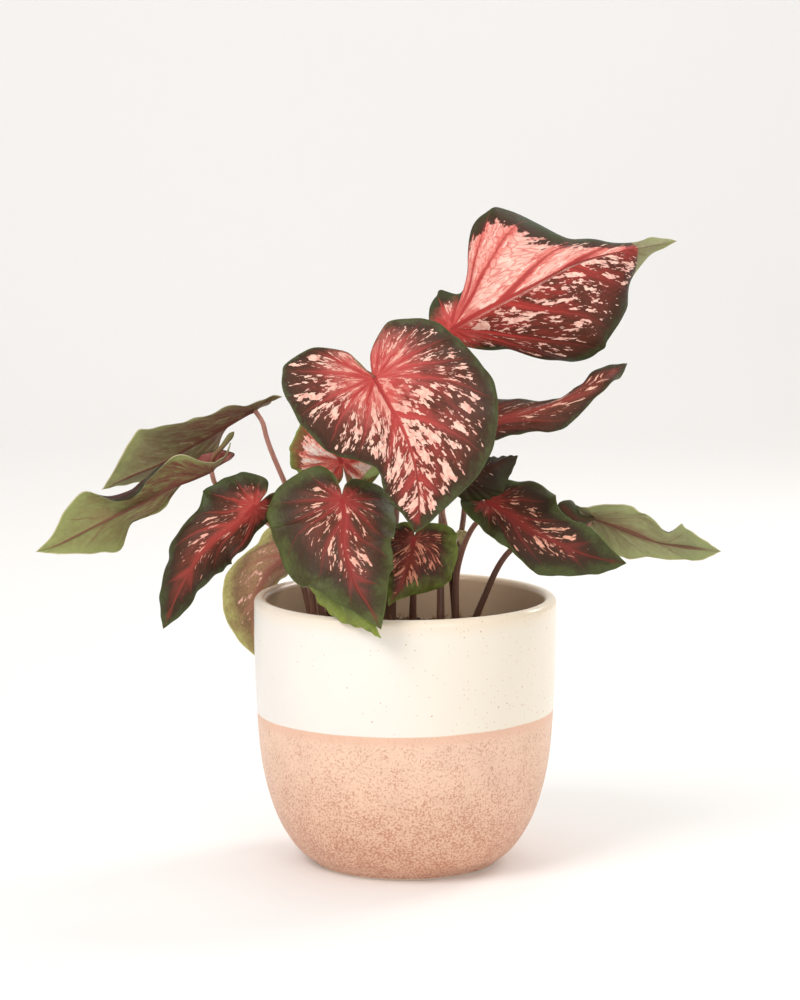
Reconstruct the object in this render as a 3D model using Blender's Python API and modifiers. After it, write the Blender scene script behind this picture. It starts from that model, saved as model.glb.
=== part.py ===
"""Potted caladium: heart-shaped leaves on slender stems that grow from three tubers
in potting mix, in a round glazed pot.

Frame: metres, +Z up, origin on the surface under the middle of the pot. The plant's
front faces -Y and +X is to the right. Lengths below are in millimetres, angles in degrees.
"""
import math

import bmesh
import bpy
import numpy as np
from mathutils import Matrix

MM = 0.001
GAP = 0.3

# Pot
POT_HEIGHT = 129.0
POT_RADIUS = 72.5
FOOT_RADIUS = 44.0
FOOT_CHAMFER = 1.5
LIP_RADIUS = 3.0
FLOOR_HEIGHT = 7.0
POT_SEGMENTS = 56

# Radius and height of the outer wall from the lip down to the foot, and of the inner wall
# from the floor up to the lip
OUTER_WALL = [
    (POT_RADIUS, POT_HEIGHT - LIP_RADIUS), (72.4, 105.0), (71.4, 76.0), (68.9, 48.0),
    (62.8, 25.0), (54.2, 9.5), (FOOT_RADIUS + FOOT_CHAMFER, FOOT_CHAMFER),
]
INNER_WALL = [
    (40.0, FLOOR_HEIGHT), (48.5, 12.0), (57.0, 26.0), (63.0, 48.0), (65.6, 76.0),
    (66.5, 105.0), (POT_RADIUS - 2 * LIP_RADIUS, POT_HEIGHT - LIP_RADIUS),
]

# Potting mix: radius and height of its top, from the middle out to the wall
SOIL_TOP = [(0.0, 114.5), (14.0, 113.5), (30.0, 110.0), (46.0, 107.0), (60.0, 106.0)]
SOIL_EDGE_HEIGHT = 105.5

# Tubers: flattened balls whose crowns stand out of the potting mix
TUBER_RADIUS = 14.5
TUBER_HALF_HEIGHT = 9.0
TUBER_CENTRE_HEIGHT = 109.0
TUBER_TURN = 5.0
TUBERS = {"left": (-37.0, -3.0), "middle": (-5.0, -6.0), "right": (26.0, -1.0)}
STEM_FOOT_HEIGHT = 106.0
CROWN_HEIGHT = 118.5
STEM_BEVEL_STEPS = 2

# Leaves
BLADE_THICKNESS = 0.8
FRONT = (0.0, -1.0, 0.0)
BACK = (0.0, 1.0, 0.0)

# Shares of the way to the tip where the margin of each half is drawn from the cross-sections,
# and the margin of a lobe, from beside the stem back round its end to the notch: share of the
# lobe's length, and share of the half width at the stem
MARGIN_SHARES = (1.0, 0.96, 0.91, 0.85, 0.78, 0.7, 0.62, 0.54, 0.46, 0.38, 0.3, 0.22, 0.14, 0.06)
LOBE_MARGIN = [
    (0.15, 1.0), (0.42, 0.93), (0.72, 0.76), (0.94, 0.48), (0.98, 0.24), (0.75, 0.09), (0.45, 0.03),
    (0.25, 0.0),
]

# Each leaf has
#   midrib     points from the stem to the tip
#   top        the side to which its upper face looks when its tilts are 0
#   lobes      lengths of the two lobes behind the stem
#   lobe_rise  how far each lobe bends up at its end
#   lobe_margins   the two lobes' own margins, where they differ from LOBE_MARGIN
#   sections   cross-sections: share of the way to the tip, then for the left half and for the
#              right half, as seen on the upper face, its width and how far it turns up out of
#              the plane beside the midrib and at the margin
#   tuber, foot, foot_radius, stem   where its stem stands, how thick it is and how it runs
LEAVES = {
    "top_right": dict(
        midrib=[(22, -10, 258), (37, -16, 267), (58, -20, 278), (79, -20, 289), (100, -14, 294),
                (115, -4, 296), (129, 8, 298)],
        top=FRONT, lobes=(12, 10),
        sections=[(0, (25, -45, -52), (11.5, -15, -35)), (0.06, (18, -43, -52), (20.5, -13, -35)),
                  (0.12, (25, -38, -50), (24.5, -11, -35)), (0.17, (37, -28, -43), (29, -9, -35)),
                  (0.24, (44, -21, -39), (37.5, -8, -34)), (0.32, (45, -20, -40), (43, -5, -30)),
                  (0.4, (45, -28, -50), (44.5, 2, -21)), (0.48, (38, -40, -65), (42, 9, -11)),
                  (0.56, (21, -45, -70), (39.5, 12, -7)), (0.64, (15.5, -45, -70), (34, 12, -7)),
                  (0.72, (10, -45, -70), (25, 4, -16)), (0.8, (5, -50, -70), (14.5, -13, -33)),
                  (0.88, (6.5, -50, -65), (5, -22, -42)), (0.94, (5, -50, -65), (2.5, -21, -41))],
        tuber="right", foot=(-9, 1), foot_radius=2.0, stem=[(17, 4, 150), (19, 3, 200), (20, 0, 240)]),
    "front_large": dict(
        midrib=[(-14, -50, 238), (-8, -58, 228), (-1, -63, 216), (4, -67, 202), (6, -69, 189),
                (6, -69, 179), (4, -67, 169)],
        top=FRONT, lobes=(19, 25),
        lobe_margins=(
            [(0.1, 0.98), (0.45, 0.87), (0.72, 0.7), (1.0, 0.47), (0.86, 0.29), (0.64, 0.1), (0.4, 0.04),
             (0.2, 0.0)],
            [(0.37, 0.99), (0.7, 0.92), (0.88, 0.81), (0.98, 0.6), (0.96, 0.42), (0.72, 0.15), (0.36, 0.1),
             (0.15, 0.0)]),
        sections=[(0, (41, 25, -5), (43, 40, 10)), (0.12, (44, 25, -5), (41.5, 36, 2)),
                  (0.24, (46.5, 25, -5), (36.5, 30, -6)), (0.32, (47.5, 25, -5), (33.5, 25, -10)),
                  (0.4, (48, 29, -1), (30, 22, -11)), (0.48, (46.5, 34, 4), (22.5, 20, -10)),
                  (0.56, (42.5, 37, 7), (17.5, 20, -10)), (0.64, (36, 40, 10), (16.5, 20, -10)),
                  (0.72, (27.5, 39, 9), (16, 19, -11)), (0.8, (16, 36, 6), (14, 16, -14)),
                  (0.88, (8, 35, 5), (9, 15, -15)), (0.94, (4.5, 35, 5), (4, 15, -15))],
        tuber="middle", foot=(-2, -3), foot_radius=2.8, stem=[(-6, -14, 150), (-4, -23, 190), (-7, -37, 222)]),
    "front_left": dict(
        midrib=[(-29, -52, 182), (-28, -58, 174), (-28, -66, 163), (-25, -73, 154), (-22, -79, 146),
                (-16, -84, 137), (-11, -88, 128)],
        top=FRONT, lobes=(12, 20),
        sections=[(0, (27, -15, -45), (36, 5, -25)), (0.15, (24.5, 0, -30), (35.5, 5, -25)),
                  (0.32, (23, 15, -15), (32, 0, -30)), (0.5, (20.5, 10, -20), (24, 5, -25)),
                  (0.68, (17, 5, -25), (12, 10, -20)), (0.85, (8, 0, -30), (6, 5, -25))],
        tuber="left", foot=(7, -5), foot_radius=2.0, stem=[(-30, -18, 145), (-30, -34, 170)]),
    "lime_under": dict(
        midrib=[(-37, -62, 153), (-32, -70, 143), (-25, -76, 135), (-18, -80, 129), (-11, -83, 123)],
        top=FRONT, lobes=(10, 10),
        sections=[(0, (15, 10, -30), (15, -30, -60)), (0.15, (15, 10, -30), (15.5, -30, -60)),
                  (0.32, (14, 10, -30), (14.5, -30, -60)), (0.5, (11, 10, -30), (11.5, -30, -60)),
                  (0.68, (7, 5, -35), (7.5, -30, -65)), (0.85, (3, 5, -35), (3, -30, -65))],
        tuber="left", foot=(0.5, -8), foot_radius=1.8, stem=[(-36, -22, 130), (-38, -44, 145)]),
    "centre_small": dict(
        midrib=[(4, -38, 162), (3, -43, 156), (1, -47, 150), (-2, -51, 142), (-8, -55, 133)],
        top=FRONT, lobes=(8, 9),
        sections=[(0, (21, 35, 5), (17, -5, -30)), (0.15, (21.5, 25, -5), (16, 0, -25)),
                  (0.32, (21, 10, -20), (14, 5, -20)), (0.5, (19, 0, -25), (11, 5, -20)),
                  (0.68, (9, -10, -35), (8, 5, -20)), (0.85, (2.5, -5, -25), (4, 5, -20))],
        tuber="middle", foot=(8.5, -2), foot_radius=1.9, stem=[(4, -14, 136)]),
    "pale_pink": dict(
        midrib=[(-30, -29, 197), (-34, -31, 208), (-36, -31, 220), (-36, -29, 231)],
        top=FRONT, lobes=(10, 16),
        sections=[(0, (21, 0, -20), (20, 10, -10)), (0.15, (23.5, 0, -20), (20, 10, -10)),
                  (0.32, (21, 5, -15), (18, 10, -10)), (0.5, (16, 10, -10), (14, 10, -10)),
                  (0.7, (10, 10, -10), (9, 10, -10)), (0.85, (4, 10, -10), (4, 10, -10))],
        tuber="middle", foot=(-9, -3), foot_radius=1.7, stem=[(-19, -9, 150), (-25, -16, 180)]),
    "slender_right": dict(
        midrib=[(29, -30, 209), (43, -26, 215), (58, -24, 220), (72, -24, 225), (87, -20, 232),
                (96, -14, 237), (105, -6, 241)],
        top=FRONT, lobes=(8, 8),
        sections=[(0, (16, -30, -30), (13, 65, 65)), (0.15, (16, -30, -40), (13, 65, 60)),
                  (0.32, (13, -60, -65), (11.5, 50, 45)), (0.5, (9, -85, -90), (12.5, 15, -5)),
                  (0.68, (6, -65, -70), (7.5, 30, 40)), (0.8, (6, -35, -45), (6, 55, 60)),
                  (0.9, (4, -40, -50), (4.5, 35, 45))],
        tuber="right", foot=(-2, 9), foot_radius=1.7, stem=[(25, 4, 145), (28, 0, 168), (29, -8, 190)]),
    "dark_small": dict(
        midrib=[(26, -44, 191), (34, -47, 195), (42, -48, 199), (52, -46, 202)],
        top=FRONT, lobes=(9, 8),
        sections=[(0, (18, -80, -60), (14, -10, -40)), (0.15, (16, -80, -60), (15, 0, -30)),
                  (0.32, (14, -80, -60), (15, 5, -25)), (0.5, (11, -80, -65), (14, 10, -15)),
                  (0.68, (8, -80, -70), (11, 5, -15)), (0.85, (3.5, -80, -70), (6.5, 5, -15))],
        tuber="right", foot=(-2, 1), foot_radius=1.7, stem=[(22, -6, 140), (19, -22, 164), (18, -31, 178)]),
    "right_front": dict(
        midrib=[(39, -34, 178), (49, -40, 173), (58, -45, 167), (67, -48, 163), (78, -49, 158),
                (90, -47, 154), (103, -42, 151)],
        top=FRONT, lobes=(9, 13),
        sections=[(0, (15, -20, -40), (12, 50, 30)), (0.15, (21, -15, -40), (15, 45, 25)),
                  (0.32, (21, -10, -35), (14, 40, 15)), (0.5, (13, 0, -15), (17, 20, -15)),
                  (0.68, (13, 0, -5), (11.5, 25, -25)), (0.85, (6.5, -5, -5), (7, 15, -20))],
        tuber="right", foot=(-2, -7), foot_radius=1.8, stem=[(25, -10, 144), (33, -19, 166)]),
    "right_far": dict(
        midrib=[(88, -20, 170), (97, -24, 167), (110, -26, 162), (122, -24, 158), (134, -20, 155),
                (150, -12, 152)],
        top=BACK, lobes=(11, 14),
        sections=[(0, (16, 55, 55), (10, -75, -65)), (0.15, (16, 45, 40), (13, -40, -30)),
                  (0.32, (15, 25, 20), (11.5, -20, -15)), (0.5, (9, 10, 15), (13, -60, -62)),
                  (0.68, (6.5, -10, -20), (9.5, 15, 20)), (0.85, (5, -15, -15), (4.5, 10, 15))],
        tuber="right", foot=(8, 0.5), foot_radius=1.8, stem=[(37, -1, 126), (50, -4, 151), (70, -12, 163)]),
    "left_low": dict(
        midrib=[(-70, -38, 177), (-79, -44, 169), (-88, -47, 163), (-95, -48, 156), (-100, -48, 148),
                (-106, -46, 137), (-113, -42, 120)],
        top=FRONT, lobes=(14, 14),
        sections=[(0, (12, -30, -45), (19, -10, -25)), (0.15, (17, -40, -50), (23.5, -10, -30)),
                  (0.32, (26, -50, -62), (17, -5, -35)), (0.5, (20.5, -40, -60), (16.5, -10, -55)),
                  (0.68, (12, -30, -50), (13, -15, -60)), (0.85, (7, -15, -30), (7, 0, -35))],
        tuber="left", foot=(-6, -6), foot_radius=1.8, stem=[(-46, -14, 140), (-58, -24, 162)]),
    "left_middle": dict(
        midrib=[(-91, -27, 193), (-101, -31, 189), (-111, -35, 185), (-122, -38, 179), (-133, -40, 174),
                (-147, -40, 167), (-162, -37, 159), (-173, -33, 155)],
        top=BACK, lobes=(16, 14), lobe_rise=(60, 0),
        sections=[(0, (11, -75, -70), (9, 150, 150)), (0.15, (17, -35, -40), (9, 80, 80)),
                  (0.32, (17, 35, -130), (13, 50, 55)), (0.5, (18, 45, -150), (16, 55, 60)),
                  (0.6, (18, 10, -40), (18.5, 25, 30)), (0.7, (15.5, -10, -15), (13.5, 15, 20)),
                  (0.85, (6.5, -5, -10), (5.5, -5, 0))],
        tuber="left", foot=(-8, 2), foot_radius=1.7, stem=[(-52, -4, 144), (-70, -10, 172), (-80, -14, 184)]),
    "left_upper": dict(
        midrib=[(-72, -2, 219), (-81, -6, 214), (-91, -10, 208), (-104, -13, 201), (-116, -14, 194),
                (-130, -12, 188), (-144, -8, 181)],
        top=BACK, lobes=(15, 12), lobe_rise=(-20, 0),
        sections=[(0, (5, -70, -60), (16, 78, 80)), (0.15, (15, -60, -55), (16, 80, 85)),
                  (0.32, (18, -50, -60), (20, 52, 60)), (0.5, (23, -25, -68), (19, 52, 55)),
                  (0.68, (18.5, -10, -10), (16, 60, 65)), (0.85, (7.5, -5, -10), (6.5, 55, 60))],
        tuber="left", foot=(-3, 8), foot_radius=1.7, stem=[(-44, 2, 146), (-56, -2, 180), (-66, -4, 206)]),
    "left_behind": dict(
        midrib=[(-50, 24, 148), (-60, 33, 141), (-69, 38, 131), (-74, 39, 119), (-75, 37, 104), (-70, 34, 90)],
        top=FRONT, lobes=(10, 10),
        sections=[(0, (14, 5, -15), (15, -15, -35)), (0.15, (12, -15, -35), (18, -15, -35)),
                  (0.32, (11, -35, -55), (15, -10, -30)), (0.5, (12, -45, -60), (17.5, 0, -20)),
                  (0.68, (10, -45, -60), (14, 5, -15)), (0.85, (4, -40, -50), (6.5, 5, -15))],
        tuber="left", foot=(5, 7), foot_radius=1.7, stem=[(-33, 20, 128), (-41, 33, 143)]),
}

# Small blades seen between the leaves: a young leaf that is still rolled, and a pale bract
ROLLED_LEAF = dict(
    tuber="middle", foot=(-4, 6), foot_radius=1.5,
    stem=[(-13, -12, 150), (-20, -26, 176), (-21, -34, 186)],
    blade=[(-18, -37.5, 191), (-13, -39, 195), (-8, -39, 198), (-3, -37, 200)],
    stem_radius=0.9, radii=[1.4, 2.6, 2.2, 0.4])
BRACT = dict(
    midrib=[(27, -1.1, 159.5), (26.7, -0.4, 156.3), (26.3, 0.3, 153)],
    top=FRONT, lobes=(1.2, 1.2),
    sections=[(0, (3, 10, 10), (2.6, 10, 10)), (0.5, (2.3, 10, 10), (2, 10, 10)),
              (0.8, (1, 10, 10), (0.9, 10, 10))])

# Rows and columns of each blade, from the stem to the margin and round each half
SPOKES = 12
RINGS = 5
LARGE_HALF_WIDTH = 35.0
LARGE_SPOKES = 15
LARGE_RINGS = 6
BRACT_SPOKES = 5
BRACT_RINGS = 2
MIDRIB_SAMPLES = 160
BEND_STEPS = 20
NARROWEST_BEND = 4.0
TIP_CROWDING = 0.045
MARGIN_CROWDING = 0.9

# Waves of the margin
WAVE_HEIGHT = 0.6
WAVES = 3
WAVE_SHIFT = 1.7
WAVE_INWARD_FADE = 2.5

# Stems
STEM_TOP_RADIUS = 1.15
STEM_TOP_GAP = 0.65
STEM_STEPS = 10
STEM_BEND_LENGTH = 6.0
STEM_TAPER = 0.6
STEEPEST_FOLD = 1.2
ROLLED_LEAF_STEPS = 14
HOLE_SEGMENTS = 12
HOLE_RISE = 5.0


def clear_scene():
    for obj in list(bpy.data.objects):
        bpy.data.objects.remove(obj, do_unlink=True)


def new_collection(name):
    collection = bpy.data.collections.new(name)
    bpy.context.scene.collection.children.link(collection)
    return collection


def material(name, color, roughness):
    """A plain Principled material."""
    mat = bpy.data.materials.new(name)
    mat.use_nodes = True
    shader = mat.node_tree.nodes["Principled BSDF"]
    shader.inputs["Base Color"].default_value = (*color, 1.0)
    shader.inputs["Roughness"].default_value = roughness
    shader.inputs["Metallic"].default_value = 0.0
    return mat


def add_object(name, data, collection, mat=None):
    obj = bpy.data.objects.new(name, data)
    collection.objects.link(obj)
    if mat is not None:
        data.materials.append(mat)
    return obj


def smooth_points(points, shares):
    """Catmull-Rom curve through points, at shares of the way along them."""
    points = np.asarray(points, float)
    last = len(points) - 1
    place = np.clip(np.asarray(shares, float), 0, 1) * last
    first = np.minimum(place.astype(int), last - 1)
    f = (place - first)[:, None]
    a = points[first]
    b = points[first + 1]
    before = np.where((first == 0)[:, None], 2 * a - b, points[np.maximum(first - 1, 0)])
    after = np.where((first == last - 1)[:, None], 2 * b - a, points[np.minimum(first + 2, last)])
    return 0.5 * (2 * a + (b - before) * f + (2 * before - 5 * a + 4 * b - after) * f**2
                  + (3 * a - before - 3 * b + after) * f**3)


def unit(vectors):
    return vectors / np.maximum(np.linalg.norm(vectors, axis=-1, keepdims=True), 1e-9)


def smooth_rows(places, rows, wanted):
    """Rows given at uneven places, read smoothly at the wanted ones."""
    slopes = np.gradient(rows, places, axis=0)
    wanted = np.clip(wanted, places[0], places[-1])
    first = np.clip(np.searchsorted(places, wanted, side="right") - 1, 0, len(places) - 2)
    step = (places[first + 1] - places[first])[:, None]
    f = (wanted - places[first])[:, None] / step
    a = rows[first]
    b = rows[first + 1]
    return ((2 * f**3 - 3 * f**2 + 1) * a + (f**3 - 2 * f**2 + f) * step * slopes[first]
            + (3 * f**2 - 2 * f**3) * b + (f**3 - f**2) * step * slopes[first + 1])


def smooth_route(points, steps):
    """Evenly spaced points of a smooth curve through points."""
    points = np.asarray(points, float)
    places = np.concatenate([[0], np.cumsum(np.linalg.norm(np.diff(points, axis=0), axis=1))])
    return smooth_rows(places, points, np.linspace(0, places[-1], steps))


def sections_at(leaf, shares):
    """Width of each half, and its two tilts in radians, at shares of the way to the tip."""
    rows = [(share, *left, *right) for share, left, right in leaf["sections"]]
    last = rows[-1]
    rows.append((1.0, 0.0, last[2], last[3], 0.0, last[5], last[6]))
    rows = np.array(rows, float)
    values = smooth_rows(rows[:, 0], rows[:, 1:], np.asarray(shares, float))
    widths = np.maximum(values[:, [0, 3]], 0)
    return widths, np.radians(values[:, [1, 2, 4, 5]])


def midrib_line(leaf):
    """Points, distances and directions, closely spaced along the midrib."""
    line = smooth_points(leaf["midrib"], np.linspace(0, 1, MIDRIB_SAMPLES))
    steps = np.linalg.norm(np.diff(line, axis=0), axis=1)
    return line, np.concatenate([[0], np.cumsum(steps)]), unit(np.gradient(line, axis=0))


def sampled(values, distance, along):
    """Columns of values, given at distances, read at places along."""
    along = np.clip(along, 0, distance[-1])
    return np.stack([np.interp(along, distance, column) for column in values.T], -1)


def half_margin(leaf, side, turn, length):
    """Flat margin of one half from the tip to the notch: places along the midrib, and out from it."""
    widths = sections_at(leaf, MARGIN_SHARES)[0][:, side]
    ahead = [(share * length, width) for share, width in zip(MARGIN_SHARES, widths)]
    hub_width = sections_at(leaf, [0])[0][0, side]
    lobe_margin = leaf.get("lobe_margins", (LOBE_MARGIN, LOBE_MARGIN))[side]
    behind = [(-share * leaf["lobes"][side], width * hub_width) for share, width in lobe_margin]
    margin = smooth_points(ahead + behind, turn)
    return margin[:, 0], np.maximum(margin[:, 1], 0)


def bent(leaf, side, along, out):
    """Points of one half at distances along the midrib and out from it, and the normals there."""
    line, distance, direction = midrib_line(leaf)
    widths, tilts = sections_at(leaf, np.maximum(along, 0) / distance[-1])
    forward = unit(sampled(direction, distance, along))
    leftward = unit(np.cross(np.array(leaf["top"]), forward))
    upward = np.cross(forward, leftward)
    sideways = leftward if side == 0 else -leftward

    # The half bends evenly from its tilt at the midrib to its tilt at the margin
    near = tilts[:, 2 * side]
    far = tilts[:, 2 * side + 1]
    share = out / np.maximum(widths[:, side], NARROWEST_BEND)
    steps = (np.arange(BEND_STEPS) + 0.5) / BEND_STEPS
    angles = near[:, None] + ((far - near) * share)[:, None] * steps
    step = (out / BEND_STEPS)[:, None]
    across = (np.cos(angles) * step).sum(1)[:, None]
    above = (np.sin(angles) * step).sum(1)[:, None]
    points = sampled(line, distance, along) + sideways * across + upward * above
    last = (near + (far - near) * share)[:, None]
    normal = upward * np.cos(last) - sideways * np.sin(last)

    # Behind the stem the lobe carries on straight, or rises towards its end
    rise = math.radians(leaf.get("lobe_rise", (0, 0))[side])
    back = np.maximum(-along, 0)
    behind = back
    raised = np.zeros_like(back)
    if rise:
        radius = leaf["lobes"][side] / rise
        behind = radius * np.sin(back / radius)
        raised = radius * (1 - np.cos(back / radius))
    return points - forward * behind[:, None] + normal * raised[:, None], normal


def blade_half(leaf, side, spokes, rings):
    """Grid of points, rings by spokes + 1, of one half of a blade, with a waved margin."""
    turn = np.linspace(0, 1, spokes + 1)
    turn = turn + TIP_CROWDING * np.sin(2 * np.pi * turn)
    reach = (np.linspace(0, 1, rings + 1)[1:] ** MARGIN_CROWDING)[:, None]
    edge_along, edge_out = half_margin(leaf, side, turn, midrib_line(leaf)[1][-1])
    points, normal = bent(leaf, side, (edge_along * reach).ravel(), (edge_out * reach).ravel())
    wave = np.sin(np.pi * turn) ** 0.5 * np.sin(2 * np.pi * WAVES * turn + WAVE_SHIFT * side)
    points = points + normal * (WAVE_HEIGHT * reach**WAVE_INWARD_FADE * wave).ravel()[:, None]
    return points.reshape(rings, spokes + 1, 3)


def blade_sheet(leaf, spokes, rings):
    """Points and triangles of a blade's upper face, which share the stem's point and the midline."""
    halves = [blade_half(leaf, side, spokes, rings) for side in (0, 1)]
    points = [np.array(leaf["midrib"][0], float)]
    index = {}
    for side, grid in enumerate(halves):
        for ring in range(rings):
            for spoke in range(spokes + 1):
                if side == 1 and spoke in (0, spokes):
                    index[side, ring, spoke] = index[0, ring, spoke]
                    continue
                index[side, ring, spoke] = len(points)
                points.append(grid[ring, spoke])
    faces = []
    for side in (0, 1):
        for spoke in range(spokes):
            corners = [(0, index[side, 0, spoke], index[side, 0, spoke + 1])]
            for ring in range(rings - 1):
                a = index[side, ring, spoke]
                b = index[side, ring, spoke + 1]
                c = index[side, ring + 1, spoke]
                d = index[side, ring + 1, spoke + 1]
                corners += [(a, c, d), (a, d, b)]
            faces += [face if side == 0 else face[::-1] for face in corners]
    return np.array(points), faces


def add_blade(name, leaf, spokes, rings, collection, mat):
    """A thin sheet, made solid by Solidify below its upper face."""
    points, faces = blade_sheet(leaf, spokes, rings)
    mesh = bpy.data.meshes.new(name)
    mesh.from_pydata((points * MM).tolist(), [], faces)
    mesh.shade_smooth()
    obj = add_object(name, mesh, collection, mat)
    solid = obj.modifiers.new("Thickness", "SOLIDIFY")
    solid.thickness = BLADE_THICKNESS * MM
    solid.offset = -1.0
    return obj


def stem_top(leaf):
    """End of the stem under the blade, and the direction from there into the blade."""
    line, _, direction = midrib_line(leaf)
    tilts = sections_at(leaf, [0])[1]
    forward = direction[0]
    leftward = unit(np.cross(np.array(leaf["top"]), forward))
    upward = np.cross(forward, leftward)
    left_normal = upward * math.cos(tilts[0, 0]) - leftward * math.sin(tilts[0, 0])
    right_normal = upward * math.cos(tilts[0, 2]) + leftward * math.sin(tilts[0, 2])
    normal = unit(left_normal + right_normal)
    fold = -0.5 * (tilts[0, 0] + tilts[0, 2])
    clearance = STEM_TOP_GAP + STEM_TOP_RADIUS * max(0.0, math.tan(min(fold, STEEPEST_FOLD)))
    return line[0] - normal * (BLADE_THICKNESS + clearance), normal


def foot_point(piece, height):
    x, y = TUBERS[piece["tuber"]]
    return (x + piece["foot"][0], y + piece["foot"][1], height)


def add_rod(name, points, radii, collection, mat):
    """A round rod through points, with its own radius at each, and filled caps."""
    curve = bpy.data.curves.new(name, "CURVE")
    curve.dimensions = "3D"
    curve.bevel_depth = MM
    curve.bevel_resolution = STEM_BEVEL_STEPS
    curve.use_fill_caps = True
    spline = curve.splines.new("POLY")
    spline.points.add(len(points) - 1)
    for target, point, radius in zip(spline.points, points, radii):
        target.co = (*(float(c) * MM for c in point), 1.0)
        target.radius = float(radius)
    return add_object(name, curve, collection, mat)


def add_stem(name, leaf, collection, mat):
    """A stem from its hole in the tuber's crown to just under its blade."""
    end, normal = stem_top(leaf)
    bend = end - normal * STEM_BEND_LENGTH
    route = [foot_point(leaf, CROWN_HEIGHT), *leaf["stem"], bend, end]
    points = smooth_route(route, STEM_STEPS)
    points = np.vstack([[foot_point(leaf, STEM_FOOT_HEIGHT)], points])
    share = np.linspace(0, 1, STEM_STEPS) ** STEM_TAPER
    radii = leaf["foot_radius"] * (1 - share) + STEM_TOP_RADIUS * share
    return add_rod(name, points, [leaf["foot_radius"], *radii], collection, mat)


def add_rolled_leaf(collection, mat):
    """The young leaf: a thin stem that swells into a blade still rolled into a spindle."""
    stem = [foot_point(ROLLED_LEAF, CROWN_HEIGHT), *ROLLED_LEAF["stem"]]
    route = [*stem, *ROLLED_LEAF["blade"]]
    shares = np.linspace(0, 1, ROLLED_LEAF_STEPS)
    points = np.vstack([[foot_point(ROLLED_LEAF, STEM_FOOT_HEIGHT)], smooth_points(route, shares)])
    knots = np.linspace(0, 1, len(route))
    stem_radii = np.linspace(ROLLED_LEAF["foot_radius"], ROLLED_LEAF["stem_radius"], len(stem))
    radii = np.interp(shares, knots, [*stem_radii, *ROLLED_LEAF["radii"]])
    add_rod("leaf_rolled_young", points, [ROLLED_LEAF["foot_radius"], *radii], collection, mat)


def turned(name, profile, collection, mat=None):
    """A profile in radius and height turned round the pot's axis; it runs down its outer side."""
    mesh = bpy.data.meshes.new(name)
    points = [(radius * MM, 0.0, height * MM) for radius, height in profile]
    edges = [(i, i + 1) for i in range(len(points) - 1)]
    mesh.from_pydata(points, edges, [])
    obj = add_object(name, mesh, collection, mat)
    screw = obj.modifiers.new("Turn", "SCREW")
    screw.axis = "Z"
    screw.angle = 2 * math.pi
    screw.steps = POT_SEGMENTS
    screw.render_steps = POT_SEGMENTS
    screw.use_merge_vertices = True
    screw.merge_threshold = 0.00001
    screw.use_smooth_shade = True
    return obj


def inner_wall(steps):
    return smooth_points(INNER_WALL, np.linspace(0, 1, steps))


def pot_profile():
    """From the middle of the floor up the inner wall, over the lip and down to the foot."""
    lip_middle = (POT_RADIUS - LIP_RADIUS, POT_HEIGHT - LIP_RADIUS)
    lip = []
    for angle in np.radians([150, 120, 90, 60, 30]):
        lip.append((lip_middle[0] + LIP_RADIUS * math.cos(angle), lip_middle[1] + LIP_RADIUS * math.sin(angle)))
    outer = smooth_points(OUTER_WALL, np.linspace(0, 1, 12))
    return [(0.0, FLOOR_HEIGHT), *inner_wall(9), *lip, *outer, (FOOT_RADIUS, 0.0), (0.0, 0.0)]


def soil_profile():
    """From the middle of the mound out to the wall, then down beside it to the floor."""
    wall = inner_wall(9)
    along = unit(np.gradient(wall, axis=0))
    inward = np.stack([-along[:, 1], along[:, 0]], -1)
    side = wall + inward * GAP
    side = side[side[:, 1] < SOIL_EDGE_HEIGHT - 5][::-1]
    edge_radius = np.interp(SOIL_EDGE_HEIGHT, wall[:, 1], wall[:, 0]) - GAP
    top = smooth_points([*SOIL_TOP, (edge_radius, SOIL_EDGE_HEIGHT)], np.linspace(0, 1, 8))
    return [*top, *side, (0.0, FLOOR_HEIGHT + GAP)]


def ball(name, centre, radius, half_height, collection, mat=None):
    """A flattened ball with its place in its mesh."""
    mesh = bpy.data.meshes.new(name)
    shape = bmesh.new()
    bmesh.ops.create_uvsphere(shape, u_segments=20, v_segments=10, radius=1.0)
    turn = Matrix.Rotation(math.radians(TUBER_TURN), 3, "Z")
    bmesh.ops.rotate(shape, matrix=turn, verts=shape.verts)
    bmesh.ops.scale(shape, vec=(radius * MM, radius * MM, half_height * MM), verts=shape.verts)
    bmesh.ops.translate(shape, vec=[c * MM for c in centre], verts=shape.verts)
    shape.to_mesh(mesh)
    shape.free()
    mesh.shade_smooth()
    return add_object(name, mesh, collection, mat)


def cylinders(name, pieces, collection):
    """Upright cylinders for the holes in which the stems of one tuber stand."""
    mesh = bpy.data.meshes.new(name)
    shape = bmesh.new()
    bottom = STEM_FOOT_HEIGHT - GAP
    depth = CROWN_HEIGHT + HOLE_RISE - bottom
    for piece in pieces:
        radius = piece["foot_radius"] + GAP
        made = bmesh.ops.create_cone(
            shape, cap_ends=True, segments=HOLE_SEGMENTS, radius1=radius * MM, radius2=radius * MM,
            depth=depth * MM)
        centre = foot_point(piece, bottom + depth / 2)
        bmesh.ops.translate(shape, vec=[c * MM for c in centre], verts=made["verts"])
    shape.to_mesh(mesh)
    shape.free()
    return add_object(name, mesh, collection)


def cut(obj, cutter):
    cutter.hide_render = True
    cutter.display_type = "WIRE"
    boolean = obj.modifiers.new("Cut " + cutter.name, "BOOLEAN")
    boolean.operation = "DIFFERENCE"
    boolean.solver = "EXACT"
    boolean.object = cutter


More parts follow.
